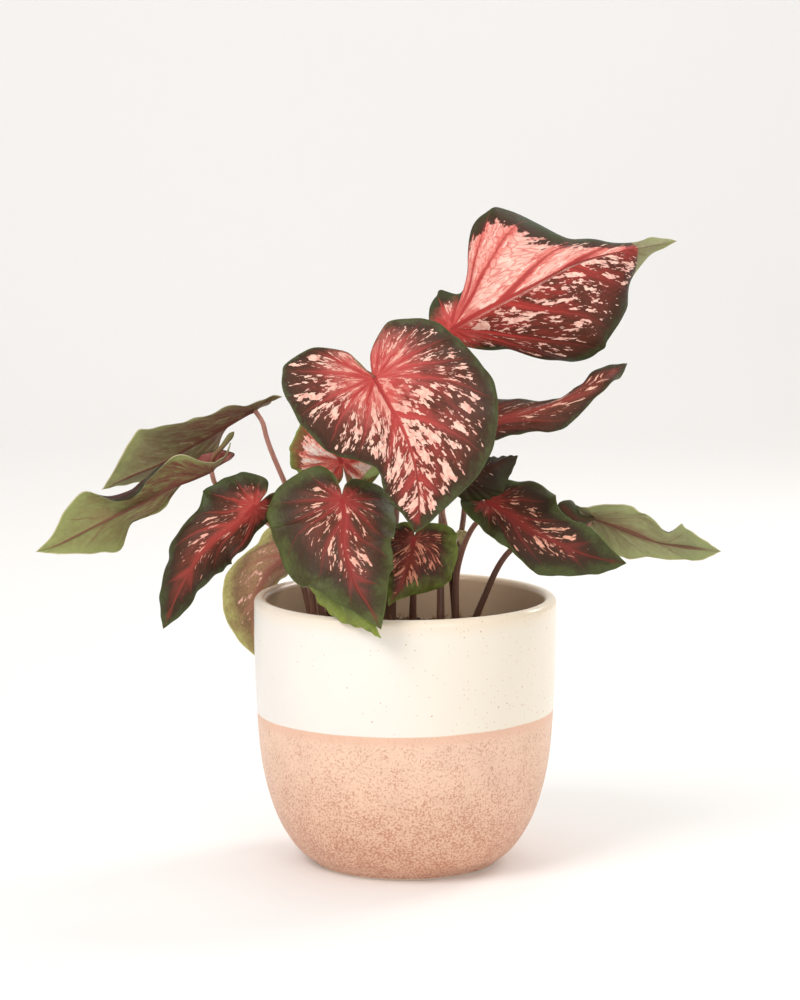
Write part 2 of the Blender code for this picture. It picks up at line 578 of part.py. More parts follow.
def build():
    clear_scene()
    parts = new_collection("potted_caladium")
    cutters = new_collection("cutters")

    glaze = material("glaze", (0.86, 0.80, 0.72), 0.35)
    soil_mat = material("potting mix", (0.06, 0.04, 0.03), 0.95)
    tuber_mat = material("tuber", (0.16, 0.09, 0.06), 0.85)
    stem_mat = material("stem", (0.33, 0.14, 0.11), 0.5)
    leaf_mat = material("leaf", (0.16, 0.10, 0.06), 0.45)
    young_mat = material("young leaf", (0.45, 0.48, 0.25), 0.5)

    turned("pot", pot_profile(), parts, glaze)
    soil = turned("potting_mix", soil_profile(), parts, soil_mat)

    pieces = [*LEAVES.values(), ROLLED_LEAF]
    for side, (x, y) in TUBERS.items():
        centre = (x, y, TUBER_CENTRE_HEIGHT)
        tuber = ball("tuber_" + side, centre, TUBER_RADIUS, TUBER_HALF_HEIGHT, parts, tuber_mat)
        pocket = ball("pocket_" + side, centre, TUBER_RADIUS + GAP, TUBER_HALF_HEIGHT + GAP, cutters)
        cut(soil, pocket)
        cut(tuber, cylinders("holes_" + side, [p for p in pieces if p["tuber"] == side], cutters))

    for name, leaf in LEAVES.items():
        large = sections_at(leaf, MARGIN_SHARES)[0].max() > LARGE_HALF_WIDTH
        spokes = LARGE_SPOKES if large else SPOKES
        rings = LARGE_RINGS if large else RINGS
        add_blade("leaf_" + name, leaf, spokes, rings, parts, leaf_mat)
        add_stem("stem_" + name, leaf, parts, stem_mat)
    add_rolled_leaf(parts, young_mat)
    add_blade("bract_pale", BRACT, BRACT_SPOKES, BRACT_RINGS, parts, young_mat)


build()
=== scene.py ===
# %% [markdown]
# # A potted caladium
#
# This lesson dresses the plain solids of a potted caladium. The plant is a clump of
# heart-shaped leaves on long stalks, which rise from tubers in a round stoneware pot. The
# solids give every place and size. The lesson makes the leaf blades again with a finer mesh,
# because their colour follows their veins, and it gives the pot, the stalks and the soil the
# surface that they have in life.
#
# Lengths in the tables are millimetres and angles are degrees. The scene itself is in metres,
# with +Z up and the plant's front facing -Y.

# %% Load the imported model
import math
from functools import partial

import bmesh
import bpy
import numpy as np
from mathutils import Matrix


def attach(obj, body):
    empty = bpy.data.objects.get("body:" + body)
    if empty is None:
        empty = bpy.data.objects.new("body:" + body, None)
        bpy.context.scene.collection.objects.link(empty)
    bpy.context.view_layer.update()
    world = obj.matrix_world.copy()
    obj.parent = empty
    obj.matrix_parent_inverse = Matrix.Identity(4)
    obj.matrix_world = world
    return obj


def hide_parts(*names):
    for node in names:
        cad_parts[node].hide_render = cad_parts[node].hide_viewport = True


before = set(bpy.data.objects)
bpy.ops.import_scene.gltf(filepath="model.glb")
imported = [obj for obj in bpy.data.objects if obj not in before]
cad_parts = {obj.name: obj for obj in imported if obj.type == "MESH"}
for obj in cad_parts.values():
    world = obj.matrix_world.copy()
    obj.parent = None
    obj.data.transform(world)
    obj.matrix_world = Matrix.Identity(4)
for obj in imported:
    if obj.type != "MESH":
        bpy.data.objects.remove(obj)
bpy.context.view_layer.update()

MM = 0.001

# %% [markdown]
# ## Camera
#
# The photograph was taken from a metre and a half away with a long lens, a little above the
# leaves and tilted down. The ellipse of the pot's rim and the curve of its foot fix the
# height and the tilt. A long lens keeps the pot's sides almost parallel.

# %% Make the camera
CAMERA_PLACE = (-0.0025, -1.5, 0.382)
CAMERA_TILT_DOWN = 7.86
LENS = 114.2

camera_data = bpy.data.cameras.new("camera")
camera_data.lens = LENS
camera_data.sensor_width = 36.0
camera = bpy.data.objects.new("camera", camera_data)
camera.location = CAMERA_PLACE
camera.rotation_euler = (math.radians(90 - CAMERA_TILT_DOWN), 0, 0)
bpy.context.scene.collection.objects.link(camera)
bpy.context.scene.camera = camera
print("camera at", CAMERA_PLACE, "lens", LENS)

# %% [markdown]
# ## Helpers for shaders
#
# A shader tree is a drawing of boxes and wires. In a script it reads better as a formula, so
# the calls of this small class add nodes and hand back their outputs. A value that is a
# socket is wired, and any other value is set on the socket itself.


# %% A shorthand for node trees
def srgb(code):
    """A colour such as "#c8504f" in the linear numbers that shaders use."""
    parts = [int(code[i:i + 2], 16) / 255 for i in (1, 3, 5)]
    return (*[c / 12.92 if c <= 0.04045 else ((c + 0.055) / 1.055) ** 2.4 for c in parts], 1.0)


class Graph:
    """A node tree, and short calls that add nodes to it."""

    def __init__(self, tree):
        self.tree = tree

    def add(self, kind, inputs=None, **settings):
        node = self.tree.nodes.new(kind)
        for key, value in settings.items():
            setattr(node, key, value)
        for name, value in (inputs or {}).items():
            self.put(node.inputs[name], value)
        return node

    def put(self, socket, value):
        if isinstance(value, bpy.types.NodeSocket):
            self.tree.links.new(value, socket)
        else:
            socket.default_value = value

    def math(self, operation, *values):
        return self.add("ShaderNodeMath", dict(enumerate(values)), operation=operation).outputs[0]

    def times(self, first, *others):
        for other in others:
            first = self.math("MULTIPLY", first, other)
        return first

    def plus(self, first, *others):
        for other in others:
            first = self.math("ADD", first, other)
        return first

    def step(self, value, low, high, start=0.0, end=1.0):
        """A smooth step from start at low to end at high."""
        node = self.add("ShaderNodeMapRange", {
            "Value": value, "From Min": low, "From Max": high, "To Min": start, "To Max": end},
            interpolation_type="SMOOTHSTEP")
        return node.outputs["Result"]

    def mix(self, factor, a, b, blend="MIX"):
        """A colour between a and b. The node keeps its colour sockets at places 6, 7 and 2."""
        node = self.add("ShaderNodeMix", {0: factor, 6: a, 7: b}, data_type="RGBA", blend_type=blend)
        return node.outputs[2]

    def between(self, factor, a, b):
        """A number between a and b. The node keeps its number sockets at places 2, 3 and 0."""
        return self.add("ShaderNodeMix", {0: factor, 2: a, 3: b}, data_type="FLOAT").outputs[0]

    def noise(self, vector, scale, detail=2.0, roughness=0.5):
        return self.add("ShaderNodeTexNoise", {
            "Vector": vector, "Scale": scale, "Detail": detail, "Roughness": roughness}).outputs["Fac"]

    def vector(self, x, y, z):
        return self.add("ShaderNodeCombineXYZ", {"X": x, "Y": y, "Z": z}).outputs[0]

    def split(self, vector):
        return self.add("ShaderNodeSeparateXYZ", {"Vector": vector}).outputs

    def attribute(self, name):
        return self.add("ShaderNodeAttribute", attribute_name=name).outputs

    def place(self):
        return self.add("ShaderNodeTexCoord").outputs["Object"]


def new_group(name, inputs, outputs):
    """A shader group with named sockets, and the ends that its own nodes are wired to."""
    tree = bpy.data.node_groups.new(name, "ShaderNodeTree")
    for label, value in inputs.items():
        kind = "Float" if isinstance(value, float) else "Color" if len(value) == 4 else "Vector"
        socket = tree.interface.new_socket(name=label, in_out="INPUT", socket_type="NodeSocket" + kind)
        socket.default_value = value
    for label, kind in outputs.items():
        tree.interface.new_socket(name=label, in_out="OUTPUT", socket_type="NodeSocket" + kind)
    source = tree.nodes.new("NodeGroupInput").outputs
    target = tree.nodes.new("NodeGroupOutput").inputs
    return Graph(tree), source, target


def new_material(name, roughness=0.5, specular=0.5):
    """A Principled material, its graph and its shader node."""
    material = bpy.data.materials.new(name)
    material.use_nodes = True
    shader = material.node_tree.nodes["Principled BSDF"]
    shader.inputs["Roughness"].default_value = roughness
    shader.inputs["Specular IOR Level"].default_value = specular
    return material, Graph(material.node_tree), shader


def use_group(graph, group, inputs):
    """Adds a shader group to a graph and returns its outputs."""
    node = graph.tree.nodes.new("ShaderNodeGroup")
    node.node_tree = group
    for label, value in inputs.items():
        graph.put(node.inputs[label], value)
    return node.outputs


def bump(graph, shader, height, strength, distance):
    """Fine relief: a height of one stands out by the distance, in metres."""
    node = graph.add("ShaderNodeBump", {"Strength": strength, "Distance": distance, "Height": height})
    graph.put(shader.inputs["Normal"], node.outputs["Normal"])


print("coral in a shader's numbers:", [round(c, 3) for c in srgb("#c8504f")])

# %% [markdown]
# ## Two effects that several materials share
#
# Speckle is the iron that bleeds through a stoneware glaze, and it is also the grit in soil.
# Each cell of a Voronoi texture holds one dot at most, and a random number for the cell says
# whether it is there. Mottle is the slow change of tone that every grown or fired surface
# has, so most of the materials wear it, each at a scale of its own.

# %% Build the shared groups
RAGGED_DOTS = 2500.0

graph, source, target = new_group(
    "speckle", {"Vector": (0.0, 0.0, 0.0), "Cells per metre": 400.0, "Share": 0.3, "Dot size": 0.3},
    {"Mask": "Float"})
cells = graph.add("ShaderNodeTexVoronoi", {"Vector": source["Vector"], "Scale": source["Cells per metre"]})
ragged = graph.noise(source["Vector"], RAGGED_DOTS, 2.0)
reach = graph.times(source["Dot size"], graph.math("MULTIPLY_ADD", ragged, 1.2, 0.4))
dot = graph.step(cells.outputs["Distance"], reach, graph.times(reach, 0.6))
there = graph.math("LESS_THAN", graph.split(cells.outputs["Color"])[0], source["Share"])
graph.put(target["Mask"], graph.times(dot, there))
speckle = graph.tree

graph, source, target = new_group(
    "mottle", {"Vector": (0.0, 0.0, 0.0), "Color": (0.5, 0.5, 0.5, 1.0), "Patches per metre": 40.0,
               "Strength": 0.15}, {"Color": "Color"})
tone = graph.noise(source["Vector"], source["Patches per metre"], 4.0, 0.6)
swing = graph.times(graph.plus(tone, -0.5), source["Strength"])
factor = graph.math("MULTIPLY_ADD", swing, 2.0, 1.0)
grey = graph.vector(factor, factor, factor)
graph.put(target["Color"], graph.mix(1.0, source["Color"], grey, "MULTIPLY"))
mottle = graph.tree
print("groups:", speckle.name, mottle.name)


def speckled(graph, where, cells, share, size):
    """A mask of dots: how many cells to a metre, the share of them with a dot, and its size."""
    return use_group(graph, speckle, {
        "Vector": where, "Cells per metre": cells, "Share": share, "Dot size": size})["Mask"]


def mottled(graph, where, code, patches, strength):
    """A colour with slow changes of tone."""
    return use_group(graph, mottle, {
        "Vector": where, "Color": srgb(code), "Patches per metre": patches, "Strength": strength})["Color"]


# %% [markdown]
# ## Meshes
#
# Each finished piece is one mesh that holds its own place, with its object at the origin.
# One helper makes the object, turns its faces outwards, and ties it to the imported model: it
# moves with the root body, and the solid that it stands for, if any, is hidden.


# %% Make a piece
MERGE_DISTANCE = 1e-7


def make_piece(name, points, faces, material, node=None, attributes=None):
    """A smooth mesh from points in millimetres; vertices that coincide are merged."""
    mesh = bpy.data.meshes.new(name)
    mesh.from_pydata((np.asarray(points, float) * MM).tolist(), [], faces)
    for label, values in (attributes or {}).items():
        values = np.asarray(values, np.float32)
        kind, field = ("FLOAT", "value") if values.ndim == 1 else ("FLOAT_VECTOR", "vector")
        mesh.attributes.new(label, kind, "POINT").data.foreach_set(field, values.ravel())
    merge(mesh, outwards=True)
    mesh.shade_smooth()
    mesh.materials.append(material)
    piece = bpy.data.objects.new(name, mesh)
    bpy.context.scene.collection.objects.link(piece)
    settle(piece, node)
    return piece


def merge(mesh, outwards):
    """Merges vertices that coincide, and turns the faces outwards if that is asked."""
    shape = bmesh.new()
    shape.from_mesh(mesh)
    bmesh.ops.remove_doubles(shape, verts=shape.verts, dist=MERGE_DISTANCE)
    if outwards:
        bmesh.ops.recalc_face_normals(shape, faces=shape.faces)
    shape.to_mesh(mesh)
    shape.free()


def settle(piece, node=None):
    """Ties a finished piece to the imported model."""
    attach(piece, "root")
    if node:
        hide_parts(node)


print("vertices merge within", MERGE_DISTANCE, "m")


# %% Directions and smooth curves
def unit(vectors):
    """The same directions, each of length one."""
    return vectors / np.maximum(np.linalg.norm(vectors, axis=-1, keepdims=True), 1e-9)


def smooth_points(points, shares):
    """Catmull-Rom curve through points, at shares of the way along them."""
    points = np.asarray(points, float)
    last = len(points) - 1
    place = np.clip(np.asarray(shares, float), 0, 1) * last
    first = np.minimum(place.astype(int), last - 1)
    f = (place - first)[:, None]
    a = points[first]
    b = points[first + 1]
    before = np.where((first == 0)[:, None], 2 * a - b, points[np.maximum(first - 1, 0)])
    after = np.where((first == last - 1)[:, None], 2 * b - a, points[np.minimum(first + 2, last)])
    return 0.5 * (2 * a + (b - before) * f + (2 * before - 5 * a + 4 * b - after) * f**2
                  + (3 * a - before - 3 * b + after) * f**3)


print("a corner, smoothed:", smooth_points([(0, 0), (1, 0), (1, 1)], [0.25, 0.5, 0.75]).tolist())

# %% [markdown]
# ## Pot
#
# A thrown or cast stoneware pot: straight at the rim, round towards a small foot, with a
# soft lip. It was dipped in blush glaze full of iron speckle, and its upper part again in
# cream. The second glaze ends in a thin raised edge. The pot is a profile turned round an
# axis, so a lathe in code makes it, with enough segments for a clean outline. The place along
# the profile is kept as an attribute, which tells the material the inside from the outside.

# %% Turn the pot
POT_HEIGHT = 129.0
POT_RADIUS = 72.5
FOOT_RADIUS = 44.0
FOOT_CHAMFER = 1.5
FOOT_ROUNDING = 0.4
LIP_RADIUS = 3.0
LIP_ARC = (170, 10)
FLOOR_HEIGHT = 7.0
POT_SEGMENTS = 192
INNER_STEPS = 30
LIP_STEPS = 15
OUTER_STEPS = 60
OUTER_WALL = [
    (POT_RADIUS, POT_HEIGHT - LIP_RADIUS), (72.4, 105.0), (71.4, 76.0), (68.9, 48.0),
    (62.8, 25.0), (54.2, 9.5), (FOOT_RADIUS + FOOT_CHAMFER, FOOT_CHAMFER)]
INNER_WALL = [
    (40.0, FLOOR_HEIGHT), (48.5, 12.0), (57.0, 26.0), (63.0, 48.0), (65.6, 76.0),
    (66.5, 105.0), (POT_RADIUS - 2 * LIP_RADIUS, POT_HEIGHT - LIP_RADIUS)]


def lathe(profile, segments):
    """Points and faces of a profile in radius and height turned round the Z axis."""
    profile = np.asarray(profile, float)
    angles = np.linspace(0, 2 * math.pi, segments, endpoint=False)
    points = [(r * math.cos(a), r * math.sin(a), z) for r, z in profile for a in angles]
    faces = []
    for row in range(len(profile) - 1):
        near = row * segments
        far = near + segments
        for i in range(segments):
            j = (i + 1) % segments
            faces.append((near + i, near + j, far + j, far + i))
    return points, faces


lip_centre = (POT_RADIUS - LIP_RADIUS, POT_HEIGHT - LIP_RADIUS)
lip = [(lip_centre[0] + LIP_RADIUS * math.cos(a), lip_centre[1] + LIP_RADIUS * math.sin(a))
       for a in np.radians(np.linspace(*LIP_ARC, LIP_STEPS))]
inside = [(0.0, FLOOR_HEIGHT), *smooth_points(INNER_WALL, np.linspace(0, 1, INNER_STEPS))]
foot = [(FOOT_RADIUS + FOOT_ROUNDING, FOOT_ROUNDING), (FOOT_RADIUS, 0.0), (0.0, 0.0)]
outside = [*smooth_points(OUTER_WALL, np.linspace(0, 1, OUTER_STEPS)), *foot]
profile = [*inside, *lip, *outside]
inner_share = np.concatenate([np.ones(len(inside)), np.linspace(1, 0, len(lip)), np.zeros(len(outside))])
pot_points, pot_faces = lathe(profile, POT_SEGMENTS)
print("pot profile:", len(profile), "points,", len(pot_faces), "faces")

# %% [markdown]
# ### Glaze
#
# One material covers the pot, because one surface runs from the inside over the lip to the
# foot. Height picks the glaze: cream above, blush below, and bare pale clay in a thin line at
# the foot. A slow noise lets the line between them waver by half a millimetre, as dipped
# glaze does. Fine brown speckle crowds the blush glaze and thickens towards the foot; only a
# few dots reach through the cream, most of them on its right side. That side of the cream is
# also tinted warmer and a little darker, which is painted shade. The heights and
# the places from left to right are in metres, because the material reads the scene's own.

# %% Glaze the pot
GLAZE_LINE = 0.0745
GLAZE_TILT = 0.012
GLAZE_EDGE = 0.0003
GLAZE_WAVER = 0.0006
BAND_TOP = 0.0025
BAND_FOOT = 0.0055
SPECKLE_TOP = 0.075
SPECKLE_FOOT = 0.004
DOTTED_SIDE = (-0.03, 0.06)
# Where the cream's painted shade starts and reaches full strength, from left to right, in metres
PAINTED_SHADE_SIDE = (-0.04, 0.05)
WARM_RIM = (0.119, 0.128)
BARE_CLAY = (0.0012, 0.0006)

material, graph, shader = new_material("two-tone glaze", 0.3, 0.5)
times, plus, step, mix, between = graph.times, graph.plus, graph.step, graph.mix, graph.between
where = graph.place()
x, _, height = graph.split(where)
waver = graph.math("MULTIPLY_ADD", graph.noise(where, 25.0, 3.0), 2 * GLAZE_WAVER, -GLAZE_WAVER)
level = plus(graph.math("MULTIPLY_ADD", x, -GLAZE_TILT, height), waver)
above = step(level, GLAZE_LINE - GLAZE_EDGE, GLAZE_LINE + GLAZE_EDGE)
low = step(height, SPECKLE_TOP, SPECKLE_FOOT)

# Blush glaze with its speckle, and a clean band under the line
clouds = graph.noise(where, 110.0, 4.0, 0.6)
grain = graph.noise(where, 1050.0, 4.0, 0.72)
thick = graph.math("MULTIPLY_ADD", clouds, -0.2, between(low, 0.62, 0.565))
spots = step(grain, thick, plus(thick, 0.09))
dots = speckled(graph, where, 620.0, between(low, 0.1, 0.3), 0.4)
blush = mottled(graph, where, "#e5c2aa", 70.0, 0.14)
blush = mix(times(low, 0.5), blush, srgb("#d6a687"))
band = step(level, GLAZE_LINE - BAND_FOOT, GLAZE_LINE - BAND_TOP)
spots = times(graph.math("MAXIMUM", spots, dots), between(band, 1.0, 0.4))
blush = mix(times(spots, between(low, 0.5, 0.75)), blush, srgb("#ab654a"))
blush = mix(times(band, 0.38), blush, srgb("#d9a48a"))

# Cream glaze, warmer at the rim, with painted shade on the right: a warmer, darker tint
right = step(x, *DOTTED_SIDE)
few = speckled(graph, where, 260.0, between(right, 0.08, 0.3), 0.12)
grains = speckled(graph, where, 560.0, between(right, 0.05, 0.3), 0.22)
cream = mottled(graph, where, "#e6e1da", 18.0, 0.05)
# Painted shade: the right side of the cream is tinted warmer and a little darker
cream = mix(step(x, *PAINTED_SHADE_SIDE, 0.0, 0.6), cream, srgb("#e8dcc6"))
cream = mix(times(step(height, *WARM_RIM), 0.4), cream, srgb("#e8cfae"))
cream = mix(times(graph.math("MAXIMUM", few, times(grains, 0.6)), 0.75), cream, srgb("#b98658"))

# Both, with bare clay at the foot, and a greyer cream inside
outer = mix(above, blush, cream)
outer = mix(step(height, *BARE_CLAY), outer, srgb("#e6d6c6"))
inner = mottled(graph, where, "#c3a88d", 30.0, 0.12)
inner_part = step(graph.attribute("inner_share")["Fac"], 0.5, 0.9)
graph.put(shader.inputs["Base Color"], mix(inner_part, outer, inner))
graph.put(shader.inputs["Roughness"], between(above, 0.42, 0.24))
pitting = times(graph.noise(where, 700.0, 3.0), between(above, 0.35, 0.06))
bump(graph, shader, plus(times(above, 0.5), pitting), 0.5, 0.0004)

pot = make_piece("pot_glazed", pot_points, pot_faces, material, "pot",
                 {"inner_share": np.repeat(inner_share, POT_SEGMENTS)})
print("pot:", len(pot.data.polygons), "faces")

# %% [markdown]
# ## Potting mix
#
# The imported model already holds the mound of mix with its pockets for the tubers, and its
# shape is right, so it only gets a material: dark peat in slow patches, with paler grit.
# Peat is never smooth, so crumbs lie on it. They repeat over a surface, which is work for
# Geometry Nodes: points are scattered on the mound, each point gets a small lump, and noise
# in space makes every lump its own shape.

# %% Colour the mix
peat_material, graph, shader = new_material("peat", 0.92, 0.2)
where = graph.place()
grit = speckled(graph, where, 380.0, 0.12, 0.3)
graph.put(shader.inputs["Base Color"], graph.mix(
    graph.times(grit, 0.6), mottled(graph, where, "#3b2c23", 160.0, 0.5), srgb("#8a6b4f")))
bump(graph, shader, graph.noise(where, 600.0, 5.0, 0.7), 0.9, 0.0015)


def dress(node, material):
    """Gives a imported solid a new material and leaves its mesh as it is."""
    node.data.materials.clear()
    node.data.materials.append(material)
    print(node.name + ":", len(node.data.polygons), "faces")


dress(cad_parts["potting_mix"], peat_material)


# %% A scatter in Geometry Nodes
def scatter_tree(name, sockets):
    """A geometry tree with named inputs: its graph, its inputs' identifiers, and its two ends."""
    tree = bpy.data.node_groups.new(name, "GeometryNodeTree")
    for way in ("INPUT", "OUTPUT"):
        tree.interface.new_socket(name="Geometry", in_out=way, socket_type="NodeSocketGeometry")
    keys = {}
    for label, kind in {"Density": "Float", **sockets, "Material": "Material", "Seed": "Int"}.items():
        socket = tree.interface.new_socket(name=label, in_out="INPUT", socket_type="NodeSocket" + kind)
        keys[label] = socket.identifier
    source = tree.nodes.new("NodeGroupInput").outputs
    target = tree.nodes.new("NodeGroupOutput").inputs
    return Graph(tree), keys, source, target


def scattered(graph, source, instance, rotation, scale):
    """Copies of an instance at random points of the surface, made real."""
    points = graph.add("GeometryNodeDistributePointsOnFaces", {
        "Mesh": source["Geometry"], "Density": source["Density"], "Seed": source["Seed"]})
    placed = graph.add("GeometryNodeInstanceOnPoints", {
        "Points": points.outputs["Points"], "Instance": instance, "Rotation": rotation, "Scale": scale})
    real = graph.add("GeometryNodeRealizeInstances", {"Geometry": placed.outputs["Instances"]})
    return real.outputs["Geometry"]


def end_tree(graph, source, target, geometry):
    """Gives the geometry the tree's material and hands it out."""
    finish = graph.add("GeometryNodeSetMaterial", {"Geometry": geometry, "Material": source["Material"]})
    graph.put(target["Geometry"], finish.outputs["Geometry"])


def bake_nodes(name, base, tree, values, keys):
    """Runs a tree on a base mesh and keeps the result as one plain mesh."""
    piece = bpy.data.objects.new(name, base)
    bpy.context.scene.collection.objects.link(piece)
    modifier = piece.modifiers.new(name, "NODES")
    modifier.node_group = tree
    for label, value in values.items():
        modifier[keys[label]] = value
    shown = piece.evaluated_get(bpy.context.evaluated_depsgraph_get())
    mesh = bpy.data.meshes.new_from_object(shown)
    piece.modifiers.remove(modifier)
    piece.data = mesh
    mesh.name = name
    settle(piece)
    print(name + ":", len(mesh.polygons), "faces")


def surface(profile, segments):
    """The mesh of a turned profile, for a scatter to stand on."""
    points, faces = lathe(profile, segments)
    mesh = bpy.data.meshes.new("surface")
    mesh.from_pydata((np.array(points) * MM).tolist(), [], [face[::-1] for face in faces])
    merge(mesh, outwards=False)
    return mesh


print("helpers for trees of geometry: scatter_tree, scattered, end_tree, bake_nodes, surface")

# %% A tree of crumbs
FULL_TURN = 6.28
CRUMB_FLATNESS = 0.7
CRUMB_NOISE = 700.0

graph, crumb_keys, source, target = scatter_tree(
    "scatter crumbs", {"Smallest": "Float", "Largest": "Float", "Ragged": "Float"})
lump = graph.add("GeometryNodeMeshIcoSphere", {"Radius": 1.0, "Subdivisions": 2}).outputs["Mesh"]
size = graph.add("FunctionNodeRandomValue", {
    2: source["Smallest"], 3: source["Largest"], "Seed": source["Seed"]}, data_type="FLOAT").outputs[1]
turn = graph.add("FunctionNodeRandomValue", {"Max": (FULL_TURN,) * 3}, data_type="FLOAT_VECTOR").outputs[0]
squash = graph.vector(size, size, graph.times(size, CRUMB_FLATNESS))
lumps = scattered(graph, source, lump, turn, squash)
position = graph.add("GeometryNodeInputPosition").outputs["Position"]
rough = graph.add("ShaderNodeTexNoise", {"Vector": position, "Scale": CRUMB_NOISE}).outputs["Color"]
centred = graph.add("ShaderNodeVectorMath", {0: rough, 1: (0.5, 0.5, 0.5)}, operation="SUBTRACT").outputs[0]
push = graph.add(
    "ShaderNodeVectorMath", {0: centred, "Scale": source["Ragged"]}, operation="SCALE").outputs[0]
moved = graph.add("GeometryNodeSetPosition", {"Geometry": lumps, "Offset": push}).outputs["Geometry"]
end_tree(graph, source, target, moved)
crumb_tree = graph.tree
print("crumb tree:", len(crumb_tree.nodes), "nodes")

# %% Strew the crumbs
SOIL_TOP = [(0.0, 114.5), (14.0, 113.5), (30.0, 110.0), (46.0, 107.0), (60.0, 106.0), (65.0, 105.6)]
SOIL_STEPS = 12
SOIL_SEGMENTS = 48

mound = surface(smooth_points(SOIL_TOP, np.linspace(0, 1, SOIL_STEPS)), SOIL_SEGMENTS)
bake_nodes("peat_crumbs", mound, crumb_tree,
           {"Density": 110000.0, "Smallest": 0.0005, "Largest": 0.0016, "Ragged": 0.0016,
            "Material": peat_material, "Seed": 3}, crumb_keys)

# %% [markdown]
# ## Tubers
#
# Each group of stalks rises from the crown of a tuber, of which only the top shows above the
# mix. Its skin is brown and cracked in rings, and fine roots and the brown remains of old
# leaf sheaths stand on it like hairs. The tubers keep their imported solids. The hairs are
# scattered as the crumbs are, but each is a thin bent tube that a curve carries.

# %% Colour the tubers
material, graph, shader = new_material("tuber skin", 0.8, 0.3)
where = graph.place()
rings = graph.add("ShaderNodeTexWave", {"Vector": where, "Scale": 160.0, "Distortion": 6.0, "Detail": 3.0},
                  bands_direction="Z").outputs["Fac"]
graph.put(shader.inputs["Base Color"], graph.mix(
    graph.times(rings, 0.5), mottled(graph, where, "#5e3f30", 220.0, 0.4), srgb("#2f1f18")))
bump(graph, shader, rings, 0.7, 0.0006)
TUBERS = {"left": (-37.0, -3.0), "middle": (-5.0, -6.0), "right": (26.0, -1.0)}
for side in TUBERS:
    dress(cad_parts["tuber_" + side], material)

# %% A tree of root hairs
HAIR_SIDES = 5
HAIR_LEAN = 0.9
SHORTEST_HAIR = 0.5

graph, hair_keys, source, target = scatter_tree("scatter hairs", {"Length": "Float", "Thickness": "Float"})
arc = graph.add("GeometryNodeCurveQuadraticBezier", {
    "Resolution": 5, "Start": (0, 0, 0), "Middle": (0.15, 0, 0.6), "End": (0.6, 0.1, 1.0)}).outputs["Curve"]
thin = graph.math("DIVIDE", source["Thickness"], source["Length"])
ring = graph.add("GeometryNodeCurvePrimitiveCircle", {
    "Resolution": HAIR_SIDES, "Radius": thin}).outputs["Curve"]
tube = graph.add("GeometryNodeCurveToMesh", {
    "Curve": arc, "Profile Curve": ring, "Fill Caps": True}).outputs["Mesh"]
long = graph.add("FunctionNodeRandomValue", {2: SHORTEST_HAIR}, data_type="FLOAT").outputs[1]
lean = graph.add("FunctionNodeRandomValue", {
    "Min": (-HAIR_LEAN, -HAIR_LEAN, 0), "Max": (HAIR_LEAN, HAIR_LEAN, FULL_TURN), "Seed": source["Seed"]},
    data_type="FLOAT_VECTOR").outputs[0]
hairs = scattered(graph, source, tube, lean, graph.times(long, source["Length"]))
end_tree(graph, source, target, hairs)
hair_tree = graph.tree
print("hair tree:", len(hair_tree.nodes), "nodes")

# %% Strew the root hairs
CROWN = [(0.5, 117.9), (5.0, 117.3), (9.0, 115.8), (12.0, 113.5)]
CROWN_SEGMENTS = 16
FIRST_HAIR_SEED = 5

material, graph, shader = new_material("root hair", 0.7, 0.3)
graph.put(shader.inputs["Base Color"], mottled(graph, graph.place(), "#9a7357", 300.0, 0.5))
for number, (side, (x, y)) in enumerate(TUBERS.items()):
    crown = surface(CROWN, CROWN_SEGMENTS)
    for vertex in crown.vertices:
        vertex.co.x += x * MM
        vertex.co.y += y * MM
    bake_nodes("root_hairs_" + side, crown, hair_tree,
               {"Density": 90000.0, "Length": 0.006, "Thickness": 0.00016, "Material": material,
                "Seed": FIRST_HAIR_SEED + number}, hair_keys)

# %% [markdown]
# ## Leaf blades
#
# A caladium blade is a heart with its stalk set at the notch. Thick coral veins leave the
# stalk's point and the midrib and run out to the green margin. The blade swells a little
# between them, as a quilt does between its seams. Most blades here have curled or hang
# edge-on, so each is described by its midrib in space and by a few cross-sections: how wide
# each half is there, and how far it turns up beside the midrib and at the margin.
#
# The mesh is a loft whose lines follow the veins. Two benefits come with it. The relief and
# the colours can both be written in terms of the veins, and the mesh bends where the leaf
# bends. These are the same tables and rules as the solids were made from, so every blade
# stays where its solid is.

